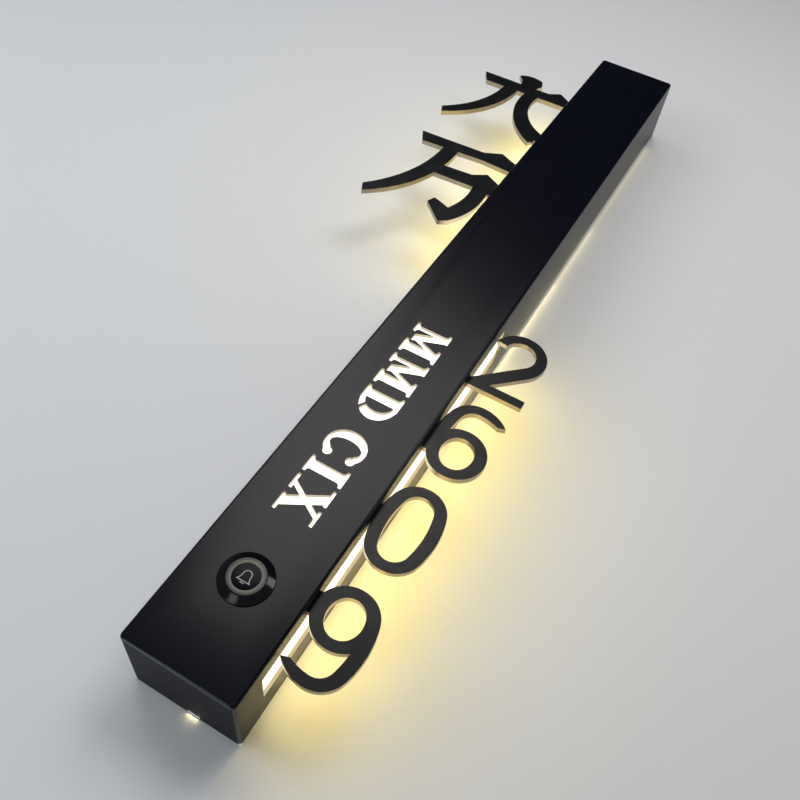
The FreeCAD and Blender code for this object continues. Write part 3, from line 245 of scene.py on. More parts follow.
black_coat = Finish("black_coat", (0.003, 0.003, 0.005), 0.2)
brush_lines = black_coat.noise(1400, stretch=(1, 1, 0.012))
black_coat.color(black_coat.tint(brush_lines, (0.0012, 0.0016, 0.0048), (0.0028, 0.0034, 0.0085)))
across = black_coat.along("X")
roughness = black_coat.ramp(brush_lines, 0.19, 0.225)
for mask in (
        black_coat.ramp(across, 0.0, SIDE_ROUGHNESS, SIDE_STARTS, SIDE_FULL),
        black_coat.ramp(across, SIDE_ROUGHNESS, 0.0, -SIDE_FULL, -SIDE_STARTS),
        black_coat.ramp(black_coat.along("Z"), END_ROUGHNESS, 0.0, END_FULL, END_STARTS)):
    roughness = math_node(black_coat.tree, "MAXIMUM", roughness, mask)
black_coat.rough(roughness)
black_coat.bump(brush_lines, 0.002, 0.1).bump(black_coat.noise(5200), 0.003, 0.12)

plate_coat = Finish("plate_coat", (0.013, 0.014, 0.015), 0.44)
plate_grain = plate_coat.noise(3600)
plate_coat.color(plate_coat.tint(plate_grain, (0.003, 0.0035, 0.005), (0.006, 0.0065, 0.008)))
plate_coat.uneven(90, 0.22, 0.3).bump(plate_grain, 0.003, 0.05)
for coat in (black_coat, plate_coat):
    coat.set("Specular IOR Level", 0.3)
print("black coats:", black_coat.material.name, plate_coat.material.name)

# %% [markdown]
# The plates are cut from sheet steel by laser and coated on the front and the back.
# Their cut edges stay bare, and these pale rims mirror the lit wall. The beam leaves
# fine lines across the sheet, so the noise is drawn out along Y.

# %% Bare cut edges
cut_edge = Finish("cut_edge", (0.44, 0.39, 0.3), 0.3, metallic=1.0)
beam_lines = cut_edge.noise(1500, stretch=(1, 0.02, 1))
cut_edge.color(cut_edge.tint(beam_lines, (0.4, 0.355, 0.27), (0.48, 0.43, 0.33)))
cut_edge.rough(cut_edge.ramp(beam_lines, 0.26, 0.42))
print("cut edges:", cut_edge.material.name)

# %% [markdown]
# Opal acrylic is what the eye takes for the lamp. It glows by itself here, a little
# stronger than white so that it looks lit. Slow noise keeps it from being perfectly
# even, as light strips behind a sheet never are.

# %% Opal acrylic
DIMMEST = 0.93


def opal_finish(name, glow, strength):
    """Acrylic that glows, with slow spots that keep the dimmest share of the glow."""
    finish = Finish(name, (0.9, 0.88, 0.82), 0.35)
    dim = tuple(channel * DIMMEST for channel in glow)
    finish.set("Emission Color", finish.tint(finish.noise(60), dim, glow))
    return finish.set("Emission Strength", strength).set("Specular IOR Level", 0.5)


side_opal = opal_finish("side_opal", (1.0, 0.93, 0.72), 1.45)
face_opal = opal_finish("face_opal", (1.0, 0.95, 0.84), 1.12)
print("opal acrylic, side and face")

# %% [markdown]
# The pieces inside and behind are ordinary workshop stuff. Each gets the one trait
# that tells it apart: spangles on zinc, drawn lines on aluminium, dust on rubber.

# %% Bare metals
zinc = Finish("zinc_spangle", (0.56, 0.58, 0.6), 0.38, metallic=1.0)
spangles = zinc.cells(160)
zinc.color(zinc.tint(spangles, (0.44, 0.46, 0.49), (0.66, 0.68, 0.7), 0.1, 0.9))
zinc.rough(zinc.ramp(spangles, 0.42, 0.6, 0.1, 0.9)).bump(zinc.noise(900), 0.01, 0.2)

drawn_metal = Finish("drawn_aluminium", (0.78, 0.79, 0.8), 0.35, metallic=1.0)
drawn_lines = drawn_metal.noise(1500, stretch=(1, 1, 0.01))
drawn_metal.rough(drawn_metal.ramp(drawn_lines, 0.25, 0.45))
drawn_metal.bump(drawn_lines, 0.006, 0.3)

bright_steel = Finish("bright_steel", (0.6, 0.61, 0.63), 0.25, 1.0).uneven(800, 0.18, 0.34)
black_oxide = Finish("black_oxide", (0.02, 0.02, 0.022), 0.4, 0.6).uneven(900, 0.34, 0.48)
blade_brass = Finish("blade_brass", (0.75, 0.58, 0.28), 0.3, 1.0).uneven(700, 0.22, 0.42)
nickel = Finish("nickel", (0.62, 0.6, 0.56), 0.22, 1.0).uneven(600, 0.16, 0.3)
print(len(bpy.data.materials), "materials so far")

# %% Plastics and rubber
strip_white = Finish("strip_white", (0.86, 0.86, 0.84), 0.5)
strip_white.mottled(300, (0.82, 0.82, 0.8), (0.9, 0.9, 0.88))

phosphor = Finish("phosphor", (0.95, 0.8, 0.35), 0.4)
phosphor.set("Emission Color", (1.0, 0.85, 0.55, 1.0)).set("Emission Strength", 1.0)
phosphor.mottled(2000, (0.93, 0.76, 0.3), (0.98, 0.86, 0.45))

case_grey = Finish("case_grey", (0.75, 0.76, 0.76), 0.5)
case_grey.uneven(700, 0.42, 0.58).bump(case_grey.noise(2500), 0.02, 0.4)
block_green = Finish("block_green", (0.05, 0.2, 0.09), 0.42)
block_green.uneven(700, 0.36, 0.5).bump(block_green.noise(2500), 0.01, 0.3)
base_plastic = Finish("base_plastic", (0.03, 0.03, 0.032), 0.5).uneven(800, 0.42, 0.58)

rubber = Finish("rubber", (0.02, 0.02, 0.02), 0.75)
rubber.mottled(500, (0.015, 0.015, 0.015), (0.03, 0.03, 0.03))
rubber.bump(rubber.noise(2200), 0.02, 0.4)
sleeve = Finish("lead_sleeve", (0.4, 0.02, 0.02), 0.45)
sleeve.mottled(120, (0.33, 0.015, 0.015), (0.45, 0.03, 0.025))
print(len(bpy.data.materials), "materials so far")

# %% [markdown]
# The bell push is glossier than the rest. Its bezel and cap are piano black, and the
# ring between them is smoked resin that would light up at night. It has a faint painted
# glow as well, which makes it a little lighter.

# %% Bell push finishes
gloss_black = Finish("gloss_black", (0.003, 0.003, 0.004), 0.12).uneven(260, 0.10, 0.16)
cap_black = Finish("cap_black", (0.004, 0.004, 0.005), 0.2).uneven(400, 0.12, 0.2)
cap_black.set("Specular IOR Level", 0.1)
silver_print = Finish("silver_print", (0.34, 0.34, 0.35), 0.35, 0.4).uneven(2500, 0.28, 0.42)

smoked_resin = Finish("smoked_resin", (0.075, 0.08, 0.06), 0.22)
smoked_resin.mottled(420, (0.062, 0.068, 0.052), (0.09, 0.096, 0.075))
smoked_resin.set("Subsurface Weight", 0.2)
# A faint painted glow: the ring gives off a little warm light of its own.
smoked_resin.set("Emission Color", (0.5, 0.45, 0.33, 1.0)).set("Emission Strength", 0.04)
print("bell push finishes: 4")

# %% [markdown]
# Every CAD node gets its finish. Some are built anew further down, and the new piece
# then takes the node's place.

# %% Dress the CAD nodes
PLATES = ["numeral_two", "numeral_six", "numeral_zero", "numeral_nine",
          "upper_character", "lower_character"]
NODE_FINISHES = {
    black_oxide: ["end_screws"],
    zinc: ["back_plate", "hook_bracket"],
    drawn_metal: ["led_channel", "right_rail", "left_rail"],
    bright_steel: ["plate_screws", "channel_screws", "terminal_screws", "button_spring"],
    side_opal: ["right_diffuser", "left_diffuser"],
    face_opal: ["face_diffuser"],
    strip_white: ["face_led_strip", "right_led_strip", "left_led_strip"],
    phosphor: ["led_chips"],
    case_grey: ["led_regulator"],
    block_green: ["terminal_block"],
    rubber: ["cable_grommet", "button_seal"],
    smoked_resin: ["button_ring"],
    gloss_black: ["button_body"],
    cap_black: ["button_cap"],
    base_plastic: ["button_base"],
    nickel: ["button_nut"],
    blade_brass: ["button_terminals"],
    sleeve: ["button_leads", "strip_leads"],
    black_coat: ["front_housing"],
    plate_coat: PLATES,
}
for finish, names in NODE_FINISHES.items():
    for name in names:
        finish.wear(nodes_by_name[name])
print("dressed", sum(map(len, NODE_FINISHES.values())), "of", len(nodes_by_name), "CAD nodes")

# %% [markdown]
# ## Pieces that start from a CAD node
#
# Some solids are right but too sharp. A real plate has edges that are broken a
# little, and that thin facet catches light. So the node's mesh is copied, its loose
# triangles are merged into faces, and a small bevel runs round every hard edge.

# %% A softened copy of a node
MERGE_DISTANCE = 0.002 * MM


def link(name, mesh):
    obj = bpy.data.objects.new(name, mesh)
    scene.collection.objects.link(obj)
    return obj


def merged_copy(node):
    """The node's mesh with its triangles merged into flat faces."""
    mesh = nodes_by_name[node].data.copy()
    work = bmesh.new()
    work.from_mesh(mesh)
    bmesh.ops.remove_doubles(work, verts=work.verts, dist=MERGE_DISTANCE)
    bmesh.ops.dissolve_limit(work, angle_limit=math.radians(1.0), verts=work.verts,
                             edges=work.edges)
    work.to_mesh(mesh)
    work.free()
    return mesh


def apply_modifiers(obj):
    """Replace an object's mesh with what its modifiers make of it."""
    depsgraph = bpy.context.evaluated_depsgraph_get()
    mesh = bpy.data.meshes.new_from_object(obj.evaluated_get(depsgraph))
    obj.modifiers.clear()
    obj.data = mesh
    return obj


def shade(obj, angle=30):
    """Smooth shading that keeps edges sharper than the angle."""
    obj.data.shade_smooth()
    obj.data.set_sharp_from_angle(angle=math.radians(angle))
    return obj


def soften(obj, width_mm, angle=35, segments=2):
    """Bevel the hard edges. The large faces keep their own normals, so they look flat."""
    shade(obj, angle)
    bevel = obj.modifiers.new("broken_edge", "BEVEL")
    bevel.width = width_mm * MM
    bevel.segments = segments
    bevel.limit_method = "ANGLE"
    bevel.angle_limit = math.radians(angle)
    bevel.harden_normals = True
    weighted = obj.modifiers.new("flat_faces", "WEIGHTED_NORMAL")
    weighted.mode = "FACE_AREA"
    weighted.weight = 100
    weighted.keep_sharp = True
    return apply_modifiers(obj)


print("helpers for copies are ready")

# %% [markdown]
# A face of a plate whose normal has little Y in it is a cut edge, and it stays bare.

# %% Soften the plates
EDGE_BREAK = 0.22
EDGE_ON = 0.3
for node in PLATES:
    plate = soften(link(node + "_plate", merged_copy(node)), EDGE_BREAK)
    plate_coat.wear(plate)
    plate.data.materials.append(cut_edge.material)
    for face in plate.data.polygons:
        face.material_index = 1 if abs(face.normal.y) < EDGE_ON else 0
    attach(plate, "root")
    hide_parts(node)
    print(plate.name, len(plate.data.polygons), "faces")

# %% [markdown]
# ## Screws and light chips
#
# Some pieces repeat: eight screws hold the plates, six hold the light channel, and
# light chips sit in rows on their strips. One recipe of geometry nodes makes each
# kind. It builds a single screw or chip and sets it down on every point it is given.
# The points are the places of the solids in the CAD node, so nothing moves.

# %% Read the places of the solids in a node
def solid_boxes(node):
    """Low and high corner of every separate solid of a node, in millimetres."""
    work = bmesh.new()
    work.from_mesh(nodes_by_name[node].data)
    bmesh.ops.remove_doubles(work, verts=work.verts, dist=MERGE_DISTANCE)
    unseen = set(work.verts)
    boxes = []
    while unseen:
        group = [unseen.pop()]
        for vertex in group:
            for edge in vertex.link_edges:
                neighbour = edge.other_vert(vertex)
                if neighbour in unseen:
                    unseen.remove(neighbour)
                    group.append(neighbour)
        places = [vertex.co / MM for vertex in group]
        boxes.append((Vector(map(min, zip(*places))), Vector(map(max, zip(*places)))))
    work.free()
    return sorted(boxes, key=lambda box: tuple(box[0]))


for node in ("end_screws", "plate_screws", "channel_screws", "terminal_screws", "led_chips"):
    print(node, len(solid_boxes(node)), "solids")

# %% [markdown]
# A recipe is a node tree with named inputs. With this helper it reads like a list of
# steps.

# %% The recipe helper
class Recipe:
    """A geometry node tree that puts one small part on every vertex of a mesh."""

    def __init__(self, name, numbers):
        self.tree = bpy.data.node_groups.new(name, "GeometryNodeTree")
        sockets = self.tree.interface
        sockets.new_socket("Geometry", in_out="INPUT", socket_type="NodeSocketGeometry")
        sockets.new_socket("Geometry", in_out="OUTPUT", socket_type="NodeSocketGeometry")
        self.names = {}
        for label, kind in [(number, "Float") for number in numbers] + [("Material", "Material")]:
            socket = sockets.new_socket(label, in_out="INPUT", socket_type="NodeSocket" + kind)
            self.names[label] = socket.identifier
        start = self.tree.nodes.new("NodeGroupInput").outputs
        self.points, self.material = start["Geometry"], start["Material"]
        self.numbers = [start[number] for number in numbers]
        self.end = self.tree.nodes.new("NodeGroupOutput")

    def add(self, kind, **inputs):
        """Add a geometry node and return what it makes."""
        return add_node(self.tree, "GeometryNode" + kind, **inputs).outputs[0]

    def calc(self, first, operation, second):
        return math_node(self.tree, operation, first, second)

    def vector(self, x=0.0, y=0.0, z=0.0):
        return add_node(self.tree, "ShaderNodeCombineXYZ", X=x, Y=y, Z=z).outputs[0]

    def moved(self, geometry, offset, turn=(0.0, 0.0, 0.0)):
        return self.add("Transform", Geometry=geometry, Translation=offset, Rotation=turn)

    def cut(self, block, tools):
        """Take the tools away from the block."""
        node = add_node(self.tree, "GeometryNodeMeshBoolean", Mesh_1=block, Mesh_2=tools)
        node.operation, node.solver = "DIFFERENCE", "EXACT"
        return node.outputs[0]

    def finish(self, part, material, tilt=(0.0, 0.0, 0.0), turn_seed=None):
        """Set the part on the points, turned by chance about its own axis if a seed is given."""
        placed = self.add("InstanceOnPoints", Points=self.points, Instance=part, Rotation=tilt)
        if turn_seed is not None:
            chance = add_node(self.tree, "FunctionNodeRandomValue", Min=0.0, Max=2 * math.pi,
                              Seed=turn_seed)
            chance.data_type = "FLOAT"
            angle = self.vector(z=[out for out in chance.outputs if out.enabled][0])
            placed = self.add("RotateInstances", Instances=placed, Rotation=angle)
        real = self.add("RealizeInstances", Geometry=placed)
        return self.add("SetMaterial", Geometry=real, Material=material)

    def close(self, *geometries):
        """Hand the finished parts to the tree's output."""
        joined = self.add("JoinGeometry", Geometry=list(geometries))
        self.tree.links.new(joined, self.end.inputs["Geometry"])

    def make(self, name, points_mm, values):
        """Run the recipe on a cloud of points and keep the mesh that comes out."""
        cloud = bpy.data.meshes.new(name)
        cloud.from_pydata([tuple(Vector(point) * MM) for point in points_mm], [], [])
        obj = link(name, cloud)
        modifier = obj.modifiers.new("recipe", "NODES")
        modifier.node_group = self.tree
        for label, value in values.items():
            modifier[self.names[label]] = value
        return apply_modifiers(obj)


print("the recipe helper is ready")

# %% [markdown]
# A screw is a head, a shank and a cross-shaped recess. The head is a short cone: as
# wide below as above for a pan head, and as narrow below as the shank for a
# countersunk one. The recess is two crossed bars, taken away from the head.

# %% The screw recipe
SHANK_TAPER = 0.8
BAR_THICKNESS = 0.3
TURN_SEED = 7
screw = Recipe("cross_screw", ["Head radius", "Under radius", "Head height", "Shank radius",
                               "Shank length", "Recess", "Tilt"])
head_radius, under_radius, head_height, shank_radius, shank_length, recess, tilt = screw.numbers
head = screw.add("MeshCone", Vertices=36, Radius_Top=head_radius, Radius_Bottom=under_radius,
                 Depth=head_height)
head_base = screw.calc(0.0, "SUBTRACT", head_height)
head = screw.moved(head, screw.vector(z=head_base))
shank_tip = screw.calc(shank_radius, "MULTIPLY", SHANK_TAPER)
shank = screw.add("MeshCone", Vertices=20, Radius_Top=shank_radius, Radius_Bottom=shank_tip,
                  Depth=shank_length)
shank_end = screw.calc(head_base, "SUBTRACT", shank_length)
shank = screw.moved(shank, screw.vector(z=shank_end))
thin = screw.calc(recess, "MULTIPLY", BAR_THICKNESS)
bars = [screw.add("MeshCube", Size=screw.vector(x, y, recess))
        for x, y in ((recess, thin), (thin, recess))]
joined = screw.add("JoinGeometry", Geometry=[shank, screw.cut(head, bars)])
screw.close(screw.finish(joined, screw.material, tilt=screw.vector(x=tilt), turn_seed=TURN_SEED))
print("screw recipe:", len(screw.tree.nodes), "nodes")

# %% [markdown]
# Four kinds of screw use the recipe. They differ in size and in the way they point:
# up for the two in the top end, back for those that hold plates, and forwards for
# the channel's and the terminal block's.

# %% Make the screws
UP, BACK, FORWARD = 0.0, -math.pi / 2, math.pi / 2
# Sizes are in the order of the recipe's inputs, in millimetres, and the tilt is last.
SCREWS = {
    "end_screws": ((2.7, 1.5, 1.2, 1.5, 5.8, 2.9, UP), black_oxide, "black_screw"),
    "plate_screws": ((2.2, 2.2, 1.6, 1.25, 6.0, 2.2, BACK), bright_steel, "screw_steel"),
    "channel_screws": ((2.1, 2.1, 1.5, 1.25, 3.2, 2.2, FORWARD), bright_steel, "screw_steel"),
    "terminal_screws": ((1.3, 1.3, 1.1, 1.0, 1.1, 1.5, FORWARD), bright_steel, "screw_steel"),
}
for node, (sizes, finish, slot) in SCREWS.items():
    tilt = sizes[-1]
    points = []
    for low, high in solid_boxes(node):
        place = (low + high) / 2
        if tilt == UP:
            place.z = high.z
        else:
            place.y = high.y if tilt == BACK else low.y
        points.append(place)
    lengths = [size * MM for size in sizes[:-1]]
    values = dict(zip(screw.names, lengths + [tilt, finish.material]))
    screws = shade(screw.make(node + "_crossed", points, values))
    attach(screws, "root")
    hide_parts(node)
    print(screws.name, len(screws.data.polygons), "faces")

# %% [markdown]
# A light chip is a small white block that faces forwards, with a round pocket that
# yellow phosphor nearly fills. The pocket's sizes are shares of the chip's own, and
# the filling's are shares of the pocket's.

# %% The chip recipe
POCKET_RADIUS, POCKET_DEPTH = 0.4, 0.6
FILL_RADIUS, FILL_DEPTH = 0.99, 0.3
chip = Recipe("light_chip", ["Width", "Thickness", "Length"])
width, thickness, length = chip.numbers
block = chip.add("MeshCube", Size=chip.vector(width, thickness, length))
pocket_radius = chip.calc(width, "MULTIPLY", POCKET_RADIUS)
pocket_depth = chip.calc(thickness, "MULTIPLY", POCKET_DEPTH)
front = chip.calc(thickness, "MULTIPLY", -0.5)


def round_plug(radius, depth, place_y):
    """A disc that faces forwards, for the pocket and for its filling."""
    plug = chip.add("MeshCylinder", Vertices=24, Radius=radius, Depth=depth)
    return chip.moved(plug, chip.vector(y=place_y), turn=(math.pi / 2, 0.0, 0.0))


hollow = chip.cut(block, [round_plug(pocket_radius, pocket_depth, front)])
fill_radius = chip.calc(pocket_radius, "MULTIPLY", FILL_RADIUS)
fill_depth = chip.calc(pocket_depth, "MULTIPLY", FILL_DEPTH)
fill = round_plug(fill_radius, fill_depth, chip.calc(front, "ADD", fill_depth))
chip.close(chip.finish(hollow, chip.material), chip.finish(fill, phosphor.material))

chip_boxes = solid_boxes("led_chips")
chip_size = (chip_boxes[0][1] - chip_boxes[0][0]) * MM
chips = chip.make("light_chips", [(low + high) / 2 for low, high in chip_boxes],
                  dict(zip(chip.names, (*chip_size, strip_white.material))))
shade(chips)
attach(chips, "root")
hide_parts("led_chips")
print("light chips:", len(chip_boxes), "with", len(chips.data.polygons), "faces")

# %% [markdown]
# ## Words cut in the face
#
# The words on the face are cut right through the sheet, and light from the opal strip
# behind fills them. Here they are a plain number in Roman letters with slab serifs,
# made of bars, arcs and feet. Each letter is a list of outlines in its own square: u
# runs along the line of writing, v from foot to head. A thin bridge holds the island
# inside the round letter.

# %% Strokes of a letter
STEM = 0.27
HAIR = 0.12
SLAB = 0.085
FOOT = 0.10
BRACKET = 0.045


def bar(left, right, low, high):
    return [(left, low), (right, low), (right, high), (left, high)]


def stem_with_feet(middle, width):
    """An upright with a slab at both ends, and small brackets in the corners."""
    half = width / 2
    reach = half + FOOT
    points = []
    for up, start in ((1, 0.0), (-1, 1.0)):
        for across in (-up, up):
            edge = [(middle + across * reach, start), (middle + across * reach, start + up * SLAB),
                    (middle + across * (half + BRACKET), start + up * SLAB),
                    (middle + across * half, start + up * (SLAB + BRACKET))]
            points += edge if across == up else edge[::-1]
    return points


def slanted(foot_u, head_u, width, low=0.0, high=1.0):
    half = width / 2
    return [(foot_u - half, low), (foot_u + half, low), (head_u + half, high),
            (head_u - half, high)]


def ellipse(centre, reach_u, reach_v, angles):
    return [(centre[0] + reach_u * math.cos(angle), centre[1] + reach_v * math.sin(angle))
            for angle in angles]


def bowl(centre, reach_u, reach_v, thick_u, thick_v, start, end, steps=20):
    """Part of a round stroke: an arc of an ellipse that is thicker at its sides."""
    angles = [math.radians(start + (end - start) * step / steps) for step in range(steps + 1)]
    inner = ellipse(centre, reach_u - thick_u, reach_v - thick_v, angles)
    return ellipse(centre, reach_u, reach_v, angles) + inner[::-1]


def disc(centre, radius, steps=24):
    return ellipse(centre, radius, radius, [2 * math.pi * step / steps for step in range(steps)])


print("strokes: bars, stems with feet, slants, bowls and discs")

# %% [markdown]
# A letter is its width and its strokes. Widths and places are shares of the letters'
# height. A word starts at a height over the housing's bottom end.

# %% Letters and words
LETTERS = {
    "M": (1.12, [stem_with_feet(0.19, 0.13), stem_with_feet(0.90, STEM),
                 slanted(0.56, 0.20, 0.25, 0.12, 1.0), slanted(0.53, 0.88, 0.13, 0.12, 1.0)]),
    "D": (0.98, [stem_with_feet(0.26, STEM), bowl((0.36, 0.5), 0.60, 0.5, 0.27, HAIR, -90, -52),
                 bowl((0.36, 0.5), 0.60, 0.5, 0.27, HAIR, -44, 90)]),
    "C": (0.92, [bowl((0.48, 0.5), 0.48, 0.52, 0.27, HAIR, 46, 314, 32),
                 disc((0.77, 0.80), 0.115), disc((0.77, 0.20), 0.115)]),
    "I": (0.46, [stem_with_feet(0.23, STEM)]),
    "X": (1.02, [slanted(0.82, 0.22, 0.29), slanted(0.20, 0.80, 0.14),
                 bar(0.0, 0.42, 0.0, SLAB), bar(0.58, 1.04, 0.0, SLAB),
                 bar(0.0, 0.46, 1 - SLAB, 1.0), bar(0.60, 1.02, 1 - SLAB, 1.0)]),
}
LETTER_HEIGHT = 19.0
LETTER_GAP = 0.12
WORDS = [("MMD", 199.0), ("CIX", 124.0)]
print("letters:", " ".join(LETTERS))

# %% [markdown]
# These build meshes from outlines, for the letters, the push and its bell.

# %% Prisms and round corners
LONGEST_ROUND = 0.45


def add_prism(work, outline, front_y, rear_y):
    """Closed prism with its outline in X and Z, in millimetres, between two depths."""
    front = [work.verts.new(Vector((x, front_y, z)) * MM) for x, z in outline]
    rear = [work.verts.new(Vector((x, rear_y, z)) * MM) for x, z in outline]
    work.faces.new(front)
    work.faces.new(rear[::-1])
    count = len(front)
    for index in range(count):
        following = (index + 1) % count
        work.faces.new((front[index], rear[index], rear[following], front[following]))


def rounded(corner, before, after, radius, steps=4):
    """Points of a small round between two edges, smaller where an edge is short."""
    corner, before, after = (Vector(point) for point in (corner, before, after))
    start, end = (corner + edge.normalized() * min(radius, edge.length * LONGEST_ROUND)
                  for edge in (before - corner, after - corner))
    points = []
    for step in range(steps + 1):
        share = step / steps
        points.append(tuple((1 - share) ** 2 * start + 2 * share * (1 - share) * corner
                            + share ** 2 * end))
    return points


def object_from(work, name):
    """Close a bmesh and make it an object, with its faces outwards."""
    bmesh.ops.recalc_face_normals(work, faces=work.faces)
    mesh = bpy.data.meshes.new(name)
    work.to_mesh(mesh)
    work.free()
    return link(name, mesh)


print("a corner becomes", len(rounded((0, 0), (1, 0), (0, 1), 0.1)), "points")

# %% [markdown]
# The outlines become prisms that reach through the sheet, and a Boolean cuts them
# from a copy of the housing. The writing runs down the sign, so u points to -Z and v
# to +X. A laser leaves small rounds in the corners. Each prism reaches a little
# farther than the one before, so that no two ends lie in one plane.

# %% The cutter for the words
WORDS_BASE_X = -10.5
LASER_ROUND = 0.32
CUT_AHEAD, CUT_BEYOND, CUT_STEP = 1.0, 0.2, 0.013
work = bmesh.new()
step = 0.0
for word, cursor in WORDS:
    for letter in word:
        width, outlines = LETTERS[letter]
        for outline in outlines:
            corners = [(WORDS_BASE_X + v * LETTER_HEIGHT,
                        HOUSING_BOTTOM + cursor - u * LETTER_HEIGHT) for u, v in outline]
            cut = []
            for index, corner in enumerate(corners):
                following = corners[(index + 1) % len(corners)]
                cut += rounded(corner, corners[index - 1], following, LASER_ROUND, steps=2)
            step += CUT_STEP
            add_prism(work, cut, FACE_Y - CUT_AHEAD - step, FACE_Y + SHEET + CUT_BEYOND + step)
        cursor -= (width + LETTER_GAP) * LETTER_HEIGHT
    print(word, "ends", round(cursor + LETTER_GAP * LETTER_HEIGHT, 1), "mm over the bottom end")
cutter = object_from(work, "letter_cutter")

# %% [markdown]
# The cut faces of the words and of the side slots are bare metal, like the plates'
# edges. They are found by their place in the sheet and the way they face.

# %% Cut the words
SLOT_FRONT, SLOT_REAR = -36, -10


def bare_cuts(mesh):
    """Give the cut faces the second material and count them."""
    inside = HALF_WIDTH - SHEET
    bare = 0
    for face in mesh.polygons:
        x, y, _ = face.center / MM
        in_slot = (inside < abs(x) < HALF_WIDTH and abs(face.normal.x) < EDGE_ON
                   and SLOT_FRONT < y < SLOT_REAR)
        in_word = (abs(x) < inside and abs(face.normal.y) < EDGE_ON
                   and FACE_Y < y < FACE_Y + SHEET)
        face.material_index = int(in_slot or in_word)
        bare += face.material_index
    return bare


housing = link("housing_with_words", merged_copy("front_housing"))
words_cut = housing.modifiers.new("words", "BOOLEAN")
words_cut.object = cutter
words_cut.operation = "DIFFERENCE"
words_cut.solver = "EXACT"
words_cut.use_self = True
apply_modifiers(housing)
bpy.data.objects.remove(cutter)
shade(housing)
black_coat.wear(housing)
housing.data.materials.append(cut_edge.material)
print("bare cut faces:", bare_cuts(housing.data))
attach(housing, "root")
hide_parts("front_housing")
print("housing:", len(housing.data.polygons), "faces")

# %% [markdown]
# ## The bell push
#
# The bezel, the ring and the cap are turned pieces, so each is spun from half of its
# section, which has the radii and depths of the solid.

# %% The lathe
BUTTON_Z = HOUSING_BOTTOM + 42.2
WELD_DISTANCE, SLIVER = 0.0005 * MM, 0.0001 * MM


def spin(name, section, steps=96):
    """Turn a closed section of (radius, y) points, in millimetres, about the push's line."""
    work = bmesh.new()
    rings = []
    for step in range(steps):
        angle = 2 * math.pi * step / steps
        places = [(radius * math.cos(angle), y, BUTTON_Z + radius * math.sin(angle))
                  for radius, y in section]
        rings.append([work.verts.new(Vector(place) * MM) for place in places])
    for step in range(steps):
        here, there = rings[step], rings[(step + 1) % steps]
        for index in range(len(section)):
            following = (index + 1) % len(section)
            if section[index][0] > 0 or section[following][0] > 0:
                work.faces.new((here[index], here[following], there[following], there[index]))
    bmesh.ops.remove_doubles(work, verts=work.verts, dist=WELD_DISTANCE)
    bmesh.ops.dissolve_degenerate(work, dist=SLIVER, edges=work.edges)
    return object_from(work, name)


def turned_piece(name, section, finish, body, node):
    """Spin a section and hand it in for a CAD node."""
    piece = shade(spin(name, section), 32)
    finish.wear(piece)
    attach(piece, body)
    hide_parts(node)
    print(name, len(piece.data.polygons), "faces")


print("the push's line lies at z =", round(BUTTON_Z, 1), "mm")

# %% [markdown]
# The flat crown of the bezel runs into a wide sloping rim, and two lights show there
# as soft patches. Behind the face, the shank has a thread that is cut as plain rings.

# %% Spin the bezel
BEZEL_FRONT = FACE_Y - 2.2
RIM_TOP, SEAL_TOP = BEZEL_FRONT + 1.6, FACE_Y - 0.5
RING_SEAT, SHANK_REAR = BEZEL_FRONT + 5.3, FACE_Y + 17.5
FRONT_BORE, CROWN, RIM, SEAL, SHANK, REAR_BORE = 7.2, 8.0, 11.3, 10.75, 9.3, 6.7  # radii
CROWN_ROUND, RIM_ROUND = 0.35, 0.25
THREAD_START, THREAD_ROOT, THREAD_PITCH, THREAD_TURNS = FACE_Y + SHEET + 0.6, 8.85, 1.0, 15

crown = [(FRONT_BORE, BEZEL_FRONT), (CROWN, BEZEL_FRONT), (RIM, RIM_TOP), (RIM, FACE_Y)]
section = [crown[0]]
section += rounded(crown[1], crown[0], crown[2], CROWN_ROUND)
section += rounded(crown[2], crown[1], crown[3], RIM_ROUND)
section += [crown[3], (SEAL, FACE_Y), (SEAL, SEAL_TOP), (SHANK, SEAL_TOP)]
for turn_number in range(THREAD_TURNS):
    y = THREAD_START + THREAD_PITCH * turn_number
    section += [(SHANK, y), (THREAD_ROOT, y + THREAD_PITCH / 2)]
section += [(SHANK, SHANK_REAR), (REAR_BORE, SHANK_REAR), (REAR_BORE, RING_SEAT),
            (FRONT_BORE, RING_SEAT)]
turned_piece("bell_push_bezel", section, gloss_black, "root", "button_body")

# %% [markdown]
# The ring and the cap are moulded, so their edges are a little round. The cap keeps
# the collar that holds it in, and the stem that reaches back to the switch.

# %% Spin the ring and the cap
RING_FRONT, CAP_FRONT = BEZEL_FRONT + 0.1, BEZEL_FRONT + 0.3
RING_REAR, COLLAR_FRONT = RING_FRONT + 5.2, CAP_FRONT + 5.3
COLLAR_REAR, STEM_REAR = CAP_FRONT + 6.7, CAP_FRONT + 10.3
RING_BORE, RING, CAP, COLLAR, CAP_STEM = 5.7, 7.15, 5.65, 6.35, 1.8  # radii
RING_ROUND, CAP_ROUND = 0.08, 0.3

ring = [(RING_BORE, RING_REAR), (RING_BORE, RING_FRONT), (RING, RING_FRONT), (RING, RING_REAR)]
section = [ring[0], *rounded(ring[1], ring[0], ring[2], RING_ROUND),
           *rounded(ring[2], ring[1], ring[3], RING_ROUND), ring[3]]
turned_piece("bell_push_ring", section, smoked_resin, "root", "button_ring")

cap = [(0.0, CAP_FRONT), (CAP, CAP_FRONT), (CAP, COLLAR_FRONT)]
section = [cap[0], *rounded(cap[1], cap[0], cap[2], CAP_ROUND), cap[2],
           (COLLAR, COLLAR_FRONT), (COLLAR, COLLAR_REAR), (CAP_STEM, COLLAR_REAR),
           (CAP_STEM, STEM_REAR), (0.0, STEM_REAR)]
turned_piece("bell_push_cap", section, cap_black, "bell_button", "button_cap")
